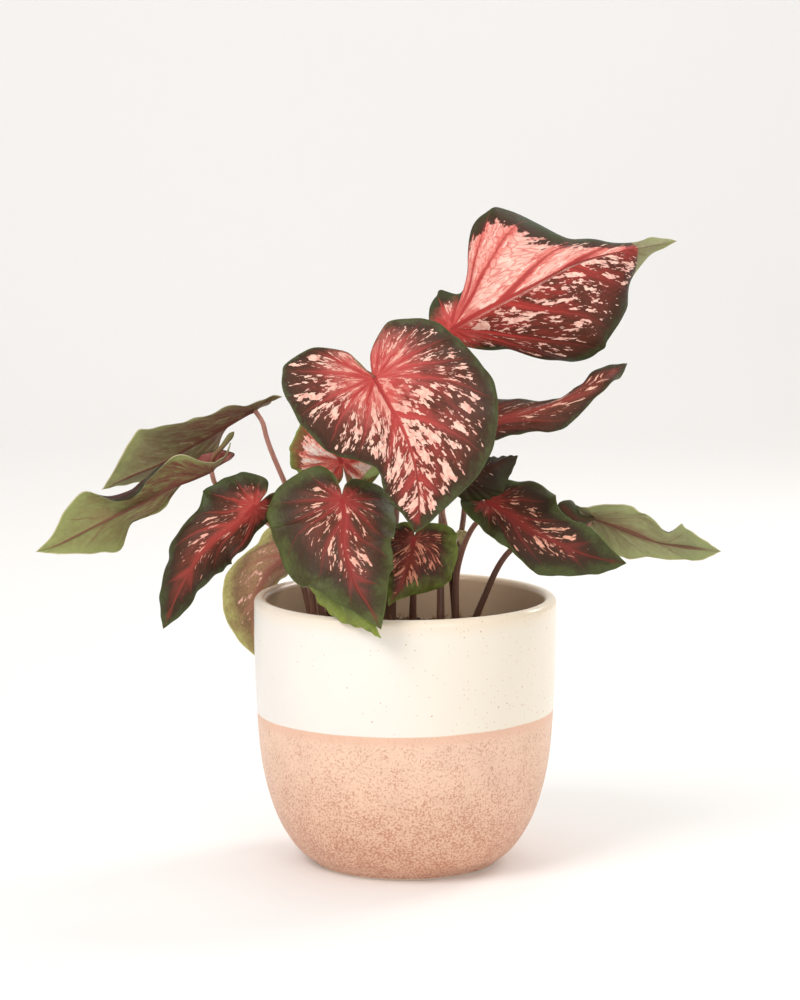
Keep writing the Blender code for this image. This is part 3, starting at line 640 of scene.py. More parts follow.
# %% The leaves
FRONT = (0.0, -1.0, 0.0)
BACK = (0.0, 1.0, 0.0)
LEAVES = {
    "top_right": dict(
        midrib=[(22, -10, 258), (37, -16, 267), (58, -20, 278), (79, -20, 289), (100, -14, 294),
                (115, -4, 296), (129, 8, 298)],
        top=FRONT, lobes=(12, 10),
        sections=[(0, (25, -45, -52), (11.5, -15, -35)), (0.06, (18, -43, -52), (20.5, -13, -35)),
                  (0.12, (25, -38, -50), (24.5, -11, -35)), (0.17, (37, -28, -43), (29, -9, -35)),
                  (0.24, (44, -21, -39), (37.5, -8, -34)), (0.32, (45, -20, -40), (43, -5, -30)),
                  (0.4, (45, -28, -50), (44.5, 2, -21)), (0.48, (38, -40, -65), (42, 9, -11)),
                  (0.56, (21, -45, -70), (39.5, 12, -7)), (0.64, (15.5, -45, -70), (34, 12, -7)),
                  (0.72, (10, -45, -70), (25, 4, -16)), (0.8, (5, -50, -70), (14.5, -13, -33)),
                  (0.88, (6.5, -50, -65), (5, -22, -42)), (0.94, (5, -50, -65), (2.5, -21, -41))],
        tuber="right", foot=(-9, 1), foot_radius=2.0, stem=[(17, 4, 150), (19, 3, 200), (20, 0, 240)]),
    "front_large": dict(
        midrib=[(-14, -50, 238), (-8, -58, 228), (-1, -63, 216), (4, -67, 202), (6, -69, 189),
                (6, -69, 179), (4, -67, 169)],
        top=FRONT, lobes=(19, 25),
        lobe_margins=(
            [(0.1, 0.98), (0.45, 0.87), (0.72, 0.7), (1.0, 0.47), (0.86, 0.29), (0.64, 0.1), (0.4, 0.04),
             (0.2, 0.0)],
            [(0.37, 0.99), (0.7, 0.92), (0.88, 0.81), (0.98, 0.6), (0.96, 0.42), (0.72, 0.15), (0.36, 0.1),
             (0.15, 0.0)]),
        sections=[(0, (41, 25, -5), (43, 40, 10)), (0.12, (44, 25, -5), (41.5, 36, 2)),
                  (0.24, (46.5, 25, -5), (36.5, 30, -6)), (0.32, (47.5, 25, -5), (33.5, 25, -10)),
                  (0.4, (48, 29, -1), (30, 22, -11)), (0.48, (46.5, 34, 4), (22.5, 20, -10)),
                  (0.56, (42.5, 37, 7), (17.5, 20, -10)), (0.64, (36, 40, 10), (16.5, 20, -10)),
                  (0.72, (27.5, 39, 9), (16, 19, -11)), (0.8, (16, 36, 6), (14, 16, -14)),
                  (0.88, (8, 35, 5), (9, 15, -15)), (0.94, (4.5, 35, 5), (4, 15, -15))],
        tuber="middle", foot=(-2, -3), foot_radius=2.8,
        stem=[(-6, -14, 150), (-4, -23, 190), (-7, -37, 222)]),
    "front_left": dict(
        midrib=[(-29, -52, 182), (-28, -58, 174), (-28, -66, 163), (-25, -73, 154), (-22, -79, 146),
                (-16, -84, 137), (-11, -88, 128)],
        top=FRONT, lobes=(12, 20),
        sections=[(0, (27, -15, -45), (36, 5, -25)), (0.15, (24.5, 0, -30), (35.5, 5, -25)),
                  (0.32, (23, 15, -15), (32, 0, -30)), (0.5, (20.5, 10, -20), (24, 5, -25)),
                  (0.68, (17, 5, -25), (12, 10, -20)), (0.85, (8, 0, -30), (6, 5, -25))],
        tuber="left", foot=(7, -5), foot_radius=2.0, stem=[(-30, -18, 145), (-30, -34, 170)]),
    "lime_under": dict(
        midrib=[(-37, -62, 153), (-32, -70, 143), (-25, -76, 135), (-18, -80, 129), (-11, -83, 123)],
        top=FRONT, lobes=(10, 10),
        sections=[(0, (15, 10, -30), (15, -30, -60)), (0.15, (15, 10, -30), (15.5, -30, -60)),
                  (0.32, (14, 10, -30), (14.5, -30, -60)), (0.5, (11, 10, -30), (11.5, -30, -60)),
                  (0.68, (7, 5, -35), (7.5, -30, -65)), (0.85, (3, 5, -35), (3, -30, -65))],
        tuber="left", foot=(0.5, -8), foot_radius=1.8, stem=[(-36, -22, 130), (-38, -44, 145)]),
    "centre_small": dict(
        midrib=[(4, -38, 162), (3, -43, 156), (1, -47, 150), (-2, -51, 142), (-8, -55, 133)],
        top=FRONT, lobes=(8, 9),
        sections=[(0, (21, 35, 5), (17, -5, -30)), (0.15, (21.5, 25, -5), (16, 0, -25)),
                  (0.32, (21, 10, -20), (14, 5, -20)), (0.5, (19, 0, -25), (11, 5, -20)),
                  (0.68, (9, -10, -35), (8, 5, -20)), (0.85, (2.5, -5, -25), (4, 5, -20))],
        tuber="middle", foot=(8.5, -2), foot_radius=1.9, stem=[(4, -14, 136)]),
    "pale_pink": dict(
        midrib=[(-30, -29, 197), (-34, -31, 208), (-36, -31, 220), (-36, -29, 231)],
        top=FRONT, lobes=(10, 16),
        sections=[(0, (21, 0, -20), (20, 10, -10)), (0.15, (23.5, 0, -20), (20, 10, -10)),
                  (0.32, (21, 5, -15), (18, 10, -10)), (0.5, (16, 10, -10), (14, 10, -10)),
                  (0.7, (10, 10, -10), (9, 10, -10)), (0.85, (4, 10, -10), (4, 10, -10))],
        tuber="middle", foot=(-9, -3), foot_radius=1.7, stem=[(-19, -9, 150), (-25, -16, 180)]),
    "slender_right": dict(
        midrib=[(29, -30, 209), (43, -26, 215), (58, -24, 220), (72, -24, 225), (87, -20, 232),
                (96, -14, 237), (105, -6, 241)],
        top=FRONT, lobes=(8, 8),
        sections=[(0, (16, -30, -30), (13, 65, 65)), (0.15, (16, -30, -40), (13, 65, 60)),
                  (0.32, (13, -60, -65), (11.5, 50, 45)), (0.5, (9, -85, -90), (12.5, 15, -5)),
                  (0.68, (6, -65, -70), (7.5, 30, 40)), (0.8, (6, -35, -45), (6, 55, 60)),
                  (0.9, (4, -40, -50), (4.5, 35, 45))],
        tuber="right", foot=(-2, 9), foot_radius=1.7, stem=[(25, 4, 145), (28, 0, 168), (29, -8, 190)]),
    "dark_small": dict(
        midrib=[(26, -44, 191), (34, -47, 195), (42, -48, 199), (52, -46, 202)],
        top=FRONT, lobes=(9, 8),
        sections=[(0, (18, -80, -60), (14, -10, -40)), (0.15, (16, -80, -60), (15, 0, -30)),
                  (0.32, (14, -80, -60), (15, 5, -25)), (0.5, (11, -80, -65), (14, 10, -15)),
                  (0.68, (8, -80, -70), (11, 5, -15)), (0.85, (3.5, -80, -70), (6.5, 5, -15))],
        tuber="right", foot=(-2, 1), foot_radius=1.7, stem=[(22, -6, 140), (19, -22, 164), (18, -31, 178)]),
    "right_front": dict(
        midrib=[(39, -34, 178), (49, -40, 173), (58, -45, 167), (67, -48, 163), (78, -49, 158),
                (90, -47, 154), (103, -42, 151)],
        top=FRONT, lobes=(9, 13),
        sections=[(0, (15, -20, -40), (12, 50, 30)), (0.15, (21, -15, -40), (15, 45, 25)),
                  (0.32, (21, -10, -35), (14, 40, 15)), (0.5, (13, 0, -15), (17, 20, -15)),
                  (0.68, (13, 0, -5), (11.5, 25, -25)), (0.85, (6.5, -5, -5), (7, 15, -20))],
        tuber="right", foot=(-2, -7), foot_radius=1.8, stem=[(25, -10, 144), (33, -19, 166)]),
    "right_far": dict(
        midrib=[(88, -20, 170), (97, -24, 167), (110, -26, 162), (122, -24, 158), (134, -20, 155),
                (150, -12, 152)],
        top=BACK, lobes=(11, 14),
        sections=[(0, (16, 55, 55), (10, -75, -65)), (0.15, (16, 45, 40), (13, -40, -30)),
                  (0.32, (15, 25, 20), (11.5, -20, -15)), (0.5, (9, 10, 15), (13, -60, -62)),
                  (0.68, (6.5, -10, -20), (9.5, 15, 20)), (0.85, (5, -15, -15), (4.5, 10, 15))],
        tuber="right", foot=(8, 0.5), foot_radius=1.8, stem=[(37, -1, 126), (50, -4, 151), (70, -12, 163)]),
    "left_low": dict(
        midrib=[(-70, -38, 177), (-79, -44, 169), (-88, -47, 163), (-95, -48, 156), (-100, -48, 148),
                (-106, -46, 137), (-113, -42, 120)],
        top=FRONT, lobes=(14, 14),
        sections=[(0, (12, -30, -45), (19, -10, -25)), (0.15, (17, -40, -50), (23.5, -10, -30)),
                  (0.32, (26, -50, -62), (17, -5, -35)), (0.5, (20.5, -40, -60), (16.5, -10, -55)),
                  (0.68, (12, -30, -50), (13, -15, -60)), (0.85, (7, -15, -30), (7, 0, -35))],
        tuber="left", foot=(-6, -6), foot_radius=1.8, stem=[(-46, -14, 140), (-58, -24, 162)]),
    "left_middle": dict(
        midrib=[(-91, -27, 193), (-101, -31, 189), (-111, -35, 185), (-122, -38, 179), (-133, -40, 174),
                (-147, -40, 167), (-162, -37, 159), (-173, -33, 155)],
        top=BACK, lobes=(16, 14), lobe_rise=(60, 0),
        sections=[(0, (11, -75, -70), (9, 150, 150)), (0.15, (17, -35, -40), (9, 80, 80)),
                  (0.32, (17, 35, -130), (13, 50, 55)), (0.5, (18, 45, -150), (16, 55, 60)),
                  (0.6, (18, 10, -40), (18.5, 25, 30)), (0.7, (15.5, -10, -15), (13.5, 15, 20)),
                  (0.85, (6.5, -5, -10), (5.5, -5, 0))],
        tuber="left", foot=(-8, 2), foot_radius=1.7,
        stem=[(-52, -4, 144), (-70, -10, 172), (-80, -14, 184)]),
    "left_upper": dict(
        midrib=[(-72, -2, 219), (-81, -6, 214), (-91, -10, 208), (-104, -13, 201), (-116, -14, 194),
                (-130, -12, 188), (-144, -8, 181)],
        top=BACK, lobes=(15, 12), lobe_rise=(-20, 0),
        sections=[(0, (5, -70, -60), (16, 78, 80)), (0.15, (15, -60, -55), (16, 80, 85)),
                  (0.32, (18, -50, -60), (20, 52, 60)), (0.5, (23, -25, -68), (19, 52, 55)),
                  (0.68, (18.5, -10, -10), (16, 60, 65)), (0.85, (7.5, -5, -10), (6.5, 55, 60))],
        tuber="left", foot=(-3, 8), foot_radius=1.7, stem=[(-44, 2, 146), (-56, -2, 180), (-66, -4, 206)]),
    "left_behind": dict(
        midrib=[(-50, 24, 148), (-60, 33, 141), (-69, 38, 131), (-74, 39, 119), (-75, 37, 104),
                (-70, 34, 90)],
        top=FRONT, lobes=(10, 10),
        sections=[(0, (14, 5, -15), (15, -15, -35)), (0.15, (12, -15, -35), (18, -15, -35)),
                  (0.32, (11, -35, -55), (15, -10, -30)), (0.5, (12, -45, -60), (17.5, 0, -20)),
                  (0.68, (10, -45, -60), (14, 5, -15)), (0.85, (4, -40, -50), (6.5, 5, -15))],
        tuber="left", foot=(5, 7), foot_radius=1.7, stem=[(-33, 20, 128), (-41, 33, 143)]),
}
print("leaves:", len(LEAVES))


# %% The rules of a blade's form
MARGIN_SHARES = (1.0, 0.96, 0.91, 0.85, 0.78, 0.7, 0.62, 0.54, 0.46, 0.38, 0.3, 0.22, 0.14, 0.06)
LOBE_MARGIN = [
    (0.15, 1.0), (0.42, 0.93), (0.72, 0.76), (0.94, 0.48), (0.98, 0.24), (0.75, 0.09), (0.45, 0.03),
    (0.25, 0.0)]
MIDRIB_SAMPLES = 160
BEND_STEPS = 20
NARROWEST_BEND = 4.0


def smooth_rows(places, rows, wanted):
    """Rows given at uneven places, read smoothly at the wanted ones."""
    slopes = np.gradient(rows, places, axis=0)
    wanted = np.clip(wanted, places[0], places[-1])
    first = np.clip(np.searchsorted(places, wanted, side="right") - 1, 0, len(places) - 2)
    step = (places[first + 1] - places[first])[:, None]
    f = (wanted - places[first])[:, None] / step
    a = rows[first]
    b = rows[first + 1]
    return ((2 * f**3 - 3 * f**2 + 1) * a + (f**3 - 2 * f**2 + f) * step * slopes[first]
            + (3 * f**2 - 2 * f**3) * b + (f**3 - f**2) * step * slopes[first + 1])


def smooth_route(points, steps):
    """Evenly spaced points of a smooth curve through points."""
    points = np.asarray(points, float)
    places = np.concatenate([[0], np.cumsum(np.linalg.norm(np.diff(points, axis=0), axis=1))])
    return smooth_rows(places, points, np.linspace(0, places[-1], steps))


def sections_at(leaf, shares):
    """Width of each half, and its two tilts in radians, at shares of the way to the tip."""
    rows = [(share, *left, *right) for share, left, right in leaf["sections"]]
    last = rows[-1]
    rows.append((1.0, 0.0, last[2], last[3], 0.0, last[5], last[6]))
    rows = np.array(rows, float)
    values = smooth_rows(rows[:, 0], rows[:, 1:], np.asarray(shares, float))
    return np.maximum(values[:, [0, 3]], 0), np.radians(values[:, [1, 2, 4, 5]])


def midrib_line(leaf):
    """Points, distances and directions, closely spaced along the midrib."""
    line = smooth_points(leaf["midrib"], np.linspace(0, 1, MIDRIB_SAMPLES))
    steps = np.linalg.norm(np.diff(line, axis=0), axis=1)
    return line, np.concatenate([[0], np.cumsum(steps)]), unit(np.gradient(line, axis=0))


def sampled(values, distance, along):
    """Rows of values along the midrib, read at other distances along it."""
    along = np.clip(along, 0, distance[-1])
    return np.stack([np.interp(along, distance, column) for column in values.T], -1)


def half_margin(leaf, side, turn, length):
    """Flat margin of one half from the tip to the notch: places along the midrib, and out from it."""
    widths = sections_at(leaf, MARGIN_SHARES)[0][:, side]
    ahead = [(share * length, width) for share, width in zip(MARGIN_SHARES, widths)]
    hub_width = sections_at(leaf, [0])[0][0, side]
    lobe_margin = leaf.get("lobe_margins", (LOBE_MARGIN, LOBE_MARGIN))[side]
    behind = [(-share * leaf["lobes"][side], width * hub_width) for share, width in lobe_margin]
    margin = smooth_points(ahead + behind, turn)
    return margin[:, 0], np.maximum(margin[:, 1], 0)


def bent(leaf, side, along, out):
    """Points of one half at distances along the midrib and out from it, and the normals there."""
    line, distance, direction = midrib_line(leaf)
    widths, tilts = sections_at(leaf, np.maximum(along, 0) / distance[-1])
    forward = unit(sampled(direction, distance, along))
    leftward = unit(np.cross(np.array(leaf["top"]), forward))
    upward = np.cross(forward, leftward)
    sideways = leftward if side == 0 else -leftward
    near = tilts[:, 2 * side]
    far = tilts[:, 2 * side + 1]
    share = out / np.maximum(widths[:, side], NARROWEST_BEND)
    steps = (np.arange(BEND_STEPS) + 0.5) / BEND_STEPS
    angles = near[:, None] + ((far - near) * share)[:, None] * steps
    step = (out / BEND_STEPS)[:, None]
    across = (np.cos(angles) * step).sum(1)[:, None]
    above = (np.sin(angles) * step).sum(1)[:, None]
    points = sampled(line, distance, along) + sideways * across + upward * above
    last = (near + (far - near) * share)[:, None]
    normal = upward * np.cos(last) - sideways * np.sin(last)
    rise = math.radians(leaf.get("lobe_rise", (0, 0))[side])
    back = np.maximum(-along, 0)
    behind = back
    raised = np.zeros_like(back)
    if rise:
        radius = leaf["lobes"][side] / rise
        behind = radius * np.sin(back / radius)
        raised = radius * (1 - np.cos(back / radius))
    return points - forward * behind[:, None] + normal * raised[:, None], normal


for name, leaf in LEAVES.items():
    print(name, "midrib:", round(midrib_line(leaf)[1][-1], 1), "mm")

# %% [markdown]
# ### The loft
#
# Every column of the mesh is a line that a vein could take. It starts on the midrib, or at
# the stalk's point for the fan of veins in the lobes, and ends on the margin. Three things
# raise it from the plain form: the long waves of the margin, fine ruffles near the margin,
# and the quilting between the veins. Attributes keep, for each vertex, its place on the flat
# leaf and its place among the veins: which family of veins it lies in, how far out it is along
# them, and how wide the space between them is there.

# %% Loft a blade
TIP_CROWDING = 0.045
RING_CROWDING = 0.9
VEIN_CURVE = 1.05
HALF_SHIFT = 40.0
WAVE_HEIGHT = 0.6
WAVES = 3
WAVE_SHIFT = 1.7
WAVE_INWARD_FADE = 2.5
RUFFLE_HEIGHT = 0.5
RUFFLES = 11
QUILT_HEIGHT = 0.6
EDGE_NIBBLE = 0.22
NIBBLED_WIDTH = 12
WIDEST_QUILT = 9.0
VEIN_LEAN = 0.5
BLADE_THICKNESS = 0.5
EDGE_THINNING = 6.0
THINNEST_EDGE = 0.4
MIDRIB_THICKNESS = 1.1
MIDRIB_HALF_WIDTH = 1.1


def blade_half(leaf, side, spokes, rings, veins):
    """Points, flat places and vein places of one half, rings + 1 by spokes + 1."""
    length = midrib_line(leaf)[1][-1]
    turn = np.linspace(0, 1, spokes + 1)
    turn = turn + TIP_CROWDING * np.sin(2 * np.pi * turn)
    reach = np.linspace(0, 1, rings + 1)[:, None] ** RING_CROWDING
    edge_along, edge_out = half_margin(leaf, side, turn, length)
    ends = np.sin(np.pi * turn) ** 0.5
    nibble = sum(part * np.sin(rate * turn + start) for part, rate, start in (
        (1.0, 47, 9 * side), (0.7, 83, 3), (0.5, 131, 5 * side)))
    edge_out = edge_out + EDGE_NIBBLE * ends * nibble * np.minimum(edge_out / NIBBLED_WIDTH, 1)
    start = np.clip((edge_along / length - VEIN_LEAN) / (1 - VEIN_LEAN), 0, 1) * length
    along = start + (edge_along - start) * reach**VEIN_CURVE
    out = edge_out * reach
    points, normal = bent(leaf, side, along.ravel(), out.ravel())
    points = points.reshape(rings + 1, spokes + 1, 3)
    normal = normal.reshape(rings + 1, spokes + 1, 3)

    # The space between veins, in millimetres, measured across them
    family = veins * turn
    by_spoke = np.stack([np.gradient(along, axis=1), np.gradient(out, axis=1)], -1)
    by_ring = unit(np.stack([np.gradient(along, axis=0), np.gradient(out, axis=0)], -1))
    space = np.abs(by_spoke[..., 0] * by_ring[..., 1] - by_spoke[..., 1] * by_ring[..., 0])
    space = space / np.gradient(family)

    wave = ends * np.sin(2 * np.pi * WAVES * turn + WAVE_SHIFT * side)
    ruffle = ends * np.sin(2 * np.pi * RUFFLES * turn + WAVE_SHIFT * side + 2 * np.sin(5 * turn))
    swell = ends * np.cos(np.pi * family) ** 2 * np.minimum(space / WIDEST_QUILT, 1)
    swell = swell * np.sin(np.pi * reach) ** 0.7
    height = (WAVE_HEIGHT * reach**WAVE_INWARD_FADE * wave + RUFFLE_HEIGHT * reach**4 * ruffle
              + QUILT_HEIGHT * swell)
    points = points + normal * height[..., None]
    run = np.hypot(edge_along - start, edge_out) * reach
    left_over = np.hypot(edge_along - along, edge_out - out)
    sign = 1 if side == 0 else -1
    flat = np.stack([along, sign * out, left_over], -1)
    among = np.stack([np.broadcast_to(family + HALF_SHIFT * side, run.shape), run, space], -1)
    return points, flat, among


def blade_mesh(leaf, spokes, rings, veins):
    """Points, faces and attributes of a whole blade with its two faces and its rim."""
    halves = [blade_half(leaf, side, spokes, rings, veins) for side in (0, 1)]
    points, flats, amongs, index = [], [], [], {}
    for side, (grid, flat, among) in enumerate(halves):
        for ring in range(rings + 1):
            for spoke in range(spokes + 1):
                if side == 1 and (ring == 0 or spoke in (0, spokes)):
                    index[side, ring, spoke] = index[0, ring, spoke]
                    continue
                if spoke == 0 and ring > 0:
                    index[side, ring, spoke] = index[0, 0, 0]
                    continue
                if ring == 0 and spoke > 0 and np.allclose(grid[0, spoke], grid[0, spoke - 1]):
                    index[side, ring, spoke] = index[0, 0, spoke - 1]
                    continue
                index[side, ring, spoke] = len(points)
                points.append(grid[ring, spoke])
                flats.append(flat[ring, spoke])
                amongs.append(among[ring, spoke])
    top, rim = [], []
    for side in (0, 1):
        for spoke in range(spokes):
            for ring in range(rings):
                face = [index[side, ring, spoke], index[side, ring + 1, spoke],
                        index[side, ring + 1, spoke + 1], index[side, ring, spoke + 1]]
                face = list(dict.fromkeys(face))
                if len(face) > 2:
                    top.append(face if side == 0 else face[::-1])
            edge = (index[side, rings, spoke], index[side, rings, spoke + 1])
            rim.append(edge if side == 0 else edge[::-1])
    points = np.array(points)
    flats = np.array(flats)
    normals = np.zeros_like(points)
    for face in top:
        corner = points[face]
        normals[face] += np.cross(corner[1] - corner[0], corner[2] - corner[0])
    normals = unit(normals)

    # The underside lies a blade's thickness below, with the midrib standing out of it
    count = len(points)
    share = np.clip(flats[:, 0] / flats[:, 0].max(), 0, 1)
    off = np.hypot(np.minimum(flats[:, 0], 0), flats[:, 1]) / (MIDRIB_HALF_WIDTH * (1.3 - share))
    edge_thin = np.clip(flats[:, 2] / EDGE_THINNING, THINNEST_EDGE, 1)
    depth = BLADE_THICKNESS * edge_thin + MIDRIB_THICKNESS * (1 - share) ** 0.7 * np.exp(-off**2)
    under = points - normals * depth[:, None]
    faces = top + [[c + count for c in face[::-1]] for face in top]
    faces += [[b, a, a + count, b + count] for a, b in rim]
    attributes = {"flat": np.vstack([flats, flats]), "among_veins": np.vstack([amongs, amongs]),
                  "underside": np.repeat([0.0, 1.0], count)}
    return np.vstack([points, under]), faces, attributes


print("a coarse blade:", len(blade_mesh(LEAVES["dark_small"], 12, 4, 8)[1]), "faces")

# %% [markdown]
# ### Colour and veins
#
# The pattern is one shader group, because every blade wears it with its own strengths. It
# reads the blade's attributes: the place among the veins gives the distance to the nearest
# vein, and the flat place gives the distance to the midrib, the stalk and the margin. Flecks
# of pale pink are noise that is stretched along the veins, so they turn with them. Green
# comes in from the margin, and the hub glows coral. The numbers in the steps are millimetres
# on the leaf, shares of the way to the margin, or the level at which a noise is cut.

# %% The pattern of a blade
graph, source, target = new_group("caladium blade", {
    "Flesh": srgb("#5a3329"), "Margin": srgb("#3f5a2c"), "Vein": srgb("#c8504f"), "Fleck": srgb("#f3bfae"),
    "Glow": srgb("#f0a8a0"), "Underside": srgb("#8b9a5f"), "Under vein": srgb("#8a4a44"),
    "Fleck share": 0.5, "Fleck reach": 0.6, "Vein strength": 1.0, "Hub reach": 18.0, "Green left": 9.0,
    "Green right": 9.0, "Glow left": 0.0, "Glow right": 0.0, "Haze": 0.15, "Side veins": 1.0,
    "Under mottle": 0.5, "Fleck length": 75.0, "Turned tip": 999.0, "Seed": 0.0},
    {"Color": "Color", "Roughness": "Float", "Height": "Float"})
times, plus, step, mix, between = graph.times, graph.plus, graph.step, graph.mix, graph.between
largest = partial(graph.math, "MAXIMUM")
along, across, inset = graph.split(graph.attribute("flat")["Vector"])
family, run, space = graph.split(graph.attribute("among_veins")["Vector"])
under = graph.attribute("underside")["Fac"]
seed, strength = source["Seed"], source["Vein strength"]
reach = between(step(across, -2.0, 2.0), source["Green right"], source["Green left"])
where = graph.vector(along, across, seed)
wobble = graph.noise(where, 0.35, 3.0, 0.6)
wobbled = plus(wobble, -0.5)
print("pattern nodes:", len(graph.tree.nodes))

# %% Distances on the leaf
# In millimetres: to the nearest side vein, to the midrib and to the stalk's point
shift = plus(family, graph.math("DIVIDE", times(wobbled, 1.6), plus(space, 1.0)))
to_vein = times(graph.math("ABSOLUTE", plus(graph.math("FRACT", shift), -0.5)), space)
behind = graph.math("MINIMUM", along, 0.0)
to_midrib, to_hub = [
    graph.math("SQRT", plus(times(way, way), times(across, across))) for way in (behind, along)]
share_out = graph.math("DIVIDE", run, plus(run, inset, 0.01))
deep = plus(inset, times(wobbled, 9.0))
print("pattern nodes:", len(graph.tree.nodes))


def stretched(across_scale, run_scale):
    """A place that is stretched along the veins."""
    return graph.vector(times(shift, across_scale), times(run, run_scale), seed)


def along_veins(across_scale, run_scale, detail, roughness):
    """A noise that is stretched along the veins."""
    return graph.noise(stretched(across_scale, run_scale), 1.0, detail, roughness)


def toned(color, tone):
    """A colour times a grey."""
    return mix(1.0, color, graph.vector(tone, tone, tone), "MULTIPLY")


# %% Glow and veins
# Where one half glows pink: solid by the veins, ragged towards the margin
glow_here = between(step(across, -0.6, 0.6), source["Glow right"], source["Glow left"])
glow_level = between(glow_here, 0.8, 0.25)
glow_level = plus(glow_level, step(deep, times(reach, 2.3), times(reach, 0.5), 0.0, 0.42))
glow_patch = step(along_veins(4.0, 0.13, 4.0, 0.65), glow_level, plus(glow_level, 0.06))
glow_patch = times(glow_patch, step(glow_here, 0.0, 0.3))
streak = along_veins(4.0, 0.07, 4.0, 0.6)

# Veins: thick where they start and thin at the margin, each in a soft coloured bed. They
# fade where they crowd together, at the tip and round the stalk.
room = times(step(space, 1.0, 3.5), source["Side veins"])
inward = step(inset, 0.3, 9.0)
half = times(step(share_out, 0.0, 1.0, 0.8, 0.16), plus(1.0, times(glow_here, 0.7)))
side_vein = times(step(to_vein, times(half, 1.5), times(half, 0.5)), room)
bed_half = step(share_out, 0.0, 0.75, 2.6, 0.5)
bed = step(to_vein, times(bed_half, plus(times(wobble, 1.6), 0.4)), 0.2)
bed = times(bed, room, step(share_out, 0.1, 0.75, 1.0, 0.0))
rib_half = step(to_hub, 0.0, 80.0, 1.25, 0.35)
midrib = step(to_midrib, times(rib_half, 1.3), times(rib_half, 0.6))
rib_bed = times(step(to_midrib, times(rib_half, 4.0), rib_half), step(to_hub, 15.0, 62.0, 1.0, 0.0))
vein = largest(side_vein, midrib)
bed = times(largest(bed, rib_bed), between(inward, 0.1, 1.0))
net_cells = graph.add("ShaderNodeTexVoronoi", {"Vector": stretched(5.0, 0.28), "Scale": 1.0},
                      feature="DISTANCE_TO_EDGE")
net = step(net_cells.outputs["Distance"], 0.11, 0.02)
print("pattern nodes:", len(graph.tree.nodes))

# %% Flesh
# Red streaks, a green margin that comes in over a dark border, and the glow
tone = plus(times(graph.noise(where, 0.8, 5.0, 0.7), 1.1), 0.35)
crowd = graph.noise(graph.vector(along, across, plus(seed, 7.0)), 0.1, 2.0)
green = times(step(deep, times(reach, 1.4), times(reach, 0.1)), step(crowd, 0.36, 0.56, 0.45, 1.0))
dark = step(deep, times(reach, 2.4), reach)
haze = largest(step(streak, 0.4, 0.6, 0.15, 1.0), step(to_vein, 3.5, 0.5))
haze = times(haze, source["Haze"])
haze = times(haze, step(share_out, 0.95, 0.3), step(deep, times(reach, 0.6), times(reach, 2.2)))
flesh = toned(source["Flesh"], tone)
flesh = mix(times(dark, 0.45), flesh, srgb("#261c10"))
flesh = mix(haze, flesh, source["Vein"])
flesh = mix(times(green, 0.92), flesh, toned(source["Margin"], tone))
glow = mix(step(to_vein, 0.5, 5.5, 0.0, 0.75), source["Glow"], source["Fleck"])
glow = mix(step(streak, 0.42, 0.66, 0.0, 0.45), glow, source["Vein"])
flesh = mix(glow_patch, flesh, glow)
print("pattern nodes:", len(graph.tree.nodes))

# %% Flecks
# They are thickest beside the midrib and few towards the margin. A second, finer layer lies
# between veins that stand far apart.
clear = times(step(to_vein, 2.2, times(half, 1.2), 0.0, 0.13), strength, source["Side veins"])
level = plus(0.76, times(source["Fleck share"], plus(times(crowd, 1.2), 0.4), -0.3), clear)
level = plus(level, step(share_out, source["Fleck reach"], 1.0, 0.0, 0.13))
level = plus(level, step(to_midrib, 24.0, 4.0, 0.02, -0.04))
level = plus(level, step(deep, times(reach, 1.6), times(reach, 0.4), 0.0, 0.1), times(glow_here, 0.02))
fleck_end = source["Fleck length"]
level = plus(level, step(to_hub, times(fleck_end, 0.7), times(fleck_end, 1.15), 0.0, 0.14))
fleck = step(along_veins(5.5, 0.12, 2.8, 0.6), level, plus(level, 0.025))
fine_level = plus(level, 0.05)
fine_fleck = step(along_veins(15.0, 0.26, 2.0, 0.5), fine_level, plus(fine_level, 0.03))
fleck = largest(fleck, times(fine_fleck, step(space, 4.0, 8.0), 0.85))
fleck_tint = step(graph.noise(where, 0.4, 3.0, 0.6), 0.42, 0.65, 0.0, 0.4)
fleck_color = mix(fleck_tint, source["Fleck"], source["Vein"])
print("pattern nodes:", len(graph.tree.nodes))

# %% The upper side in full
# The hub is coral with paler streaks between its veins
hub = step(plus(times(wobbled, 14.0), to_hub), source["Hub reach"], times(source["Hub reach"], 0.3))
hub_streak = times(step(streak, 0.4, 0.58), step(to_hub, 3.0, 14.0, 0.1, 0.6))
hub_color = mix(hub_streak, source["Vein"], source["Glow"])
color = mix(times(bed, between(share_out, 0.8, 0.2), strength), flesh, source["Vein"])
color = mix(times(hub, 0.8), color, hub_color)
lit = largest(glow_patch, hub)
color = mix(times(net, 0.55, lit), color, source["Vein"])
color = mix(times(fleck, between(hub, 0.95, 0.5)), color, fleck_color)
vein_color = mix(step(to_hub, 15.0, 70.0, 0.1, 0.65), source["Vein"], source["Flesh"])
vein_color = mix(times(lit, 0.7), vein_color, srgb("#a02c2b"))
shown = times(vein, between(share_out, 1.0, 0.45), strength, between(inward, 0.3, 1.0))
color = mix(shown, color, vein_color)
color = mix(step(inset, 0.9, 0.3), color, source["Margin"])
print("pattern nodes:", len(graph.tree.nodes))

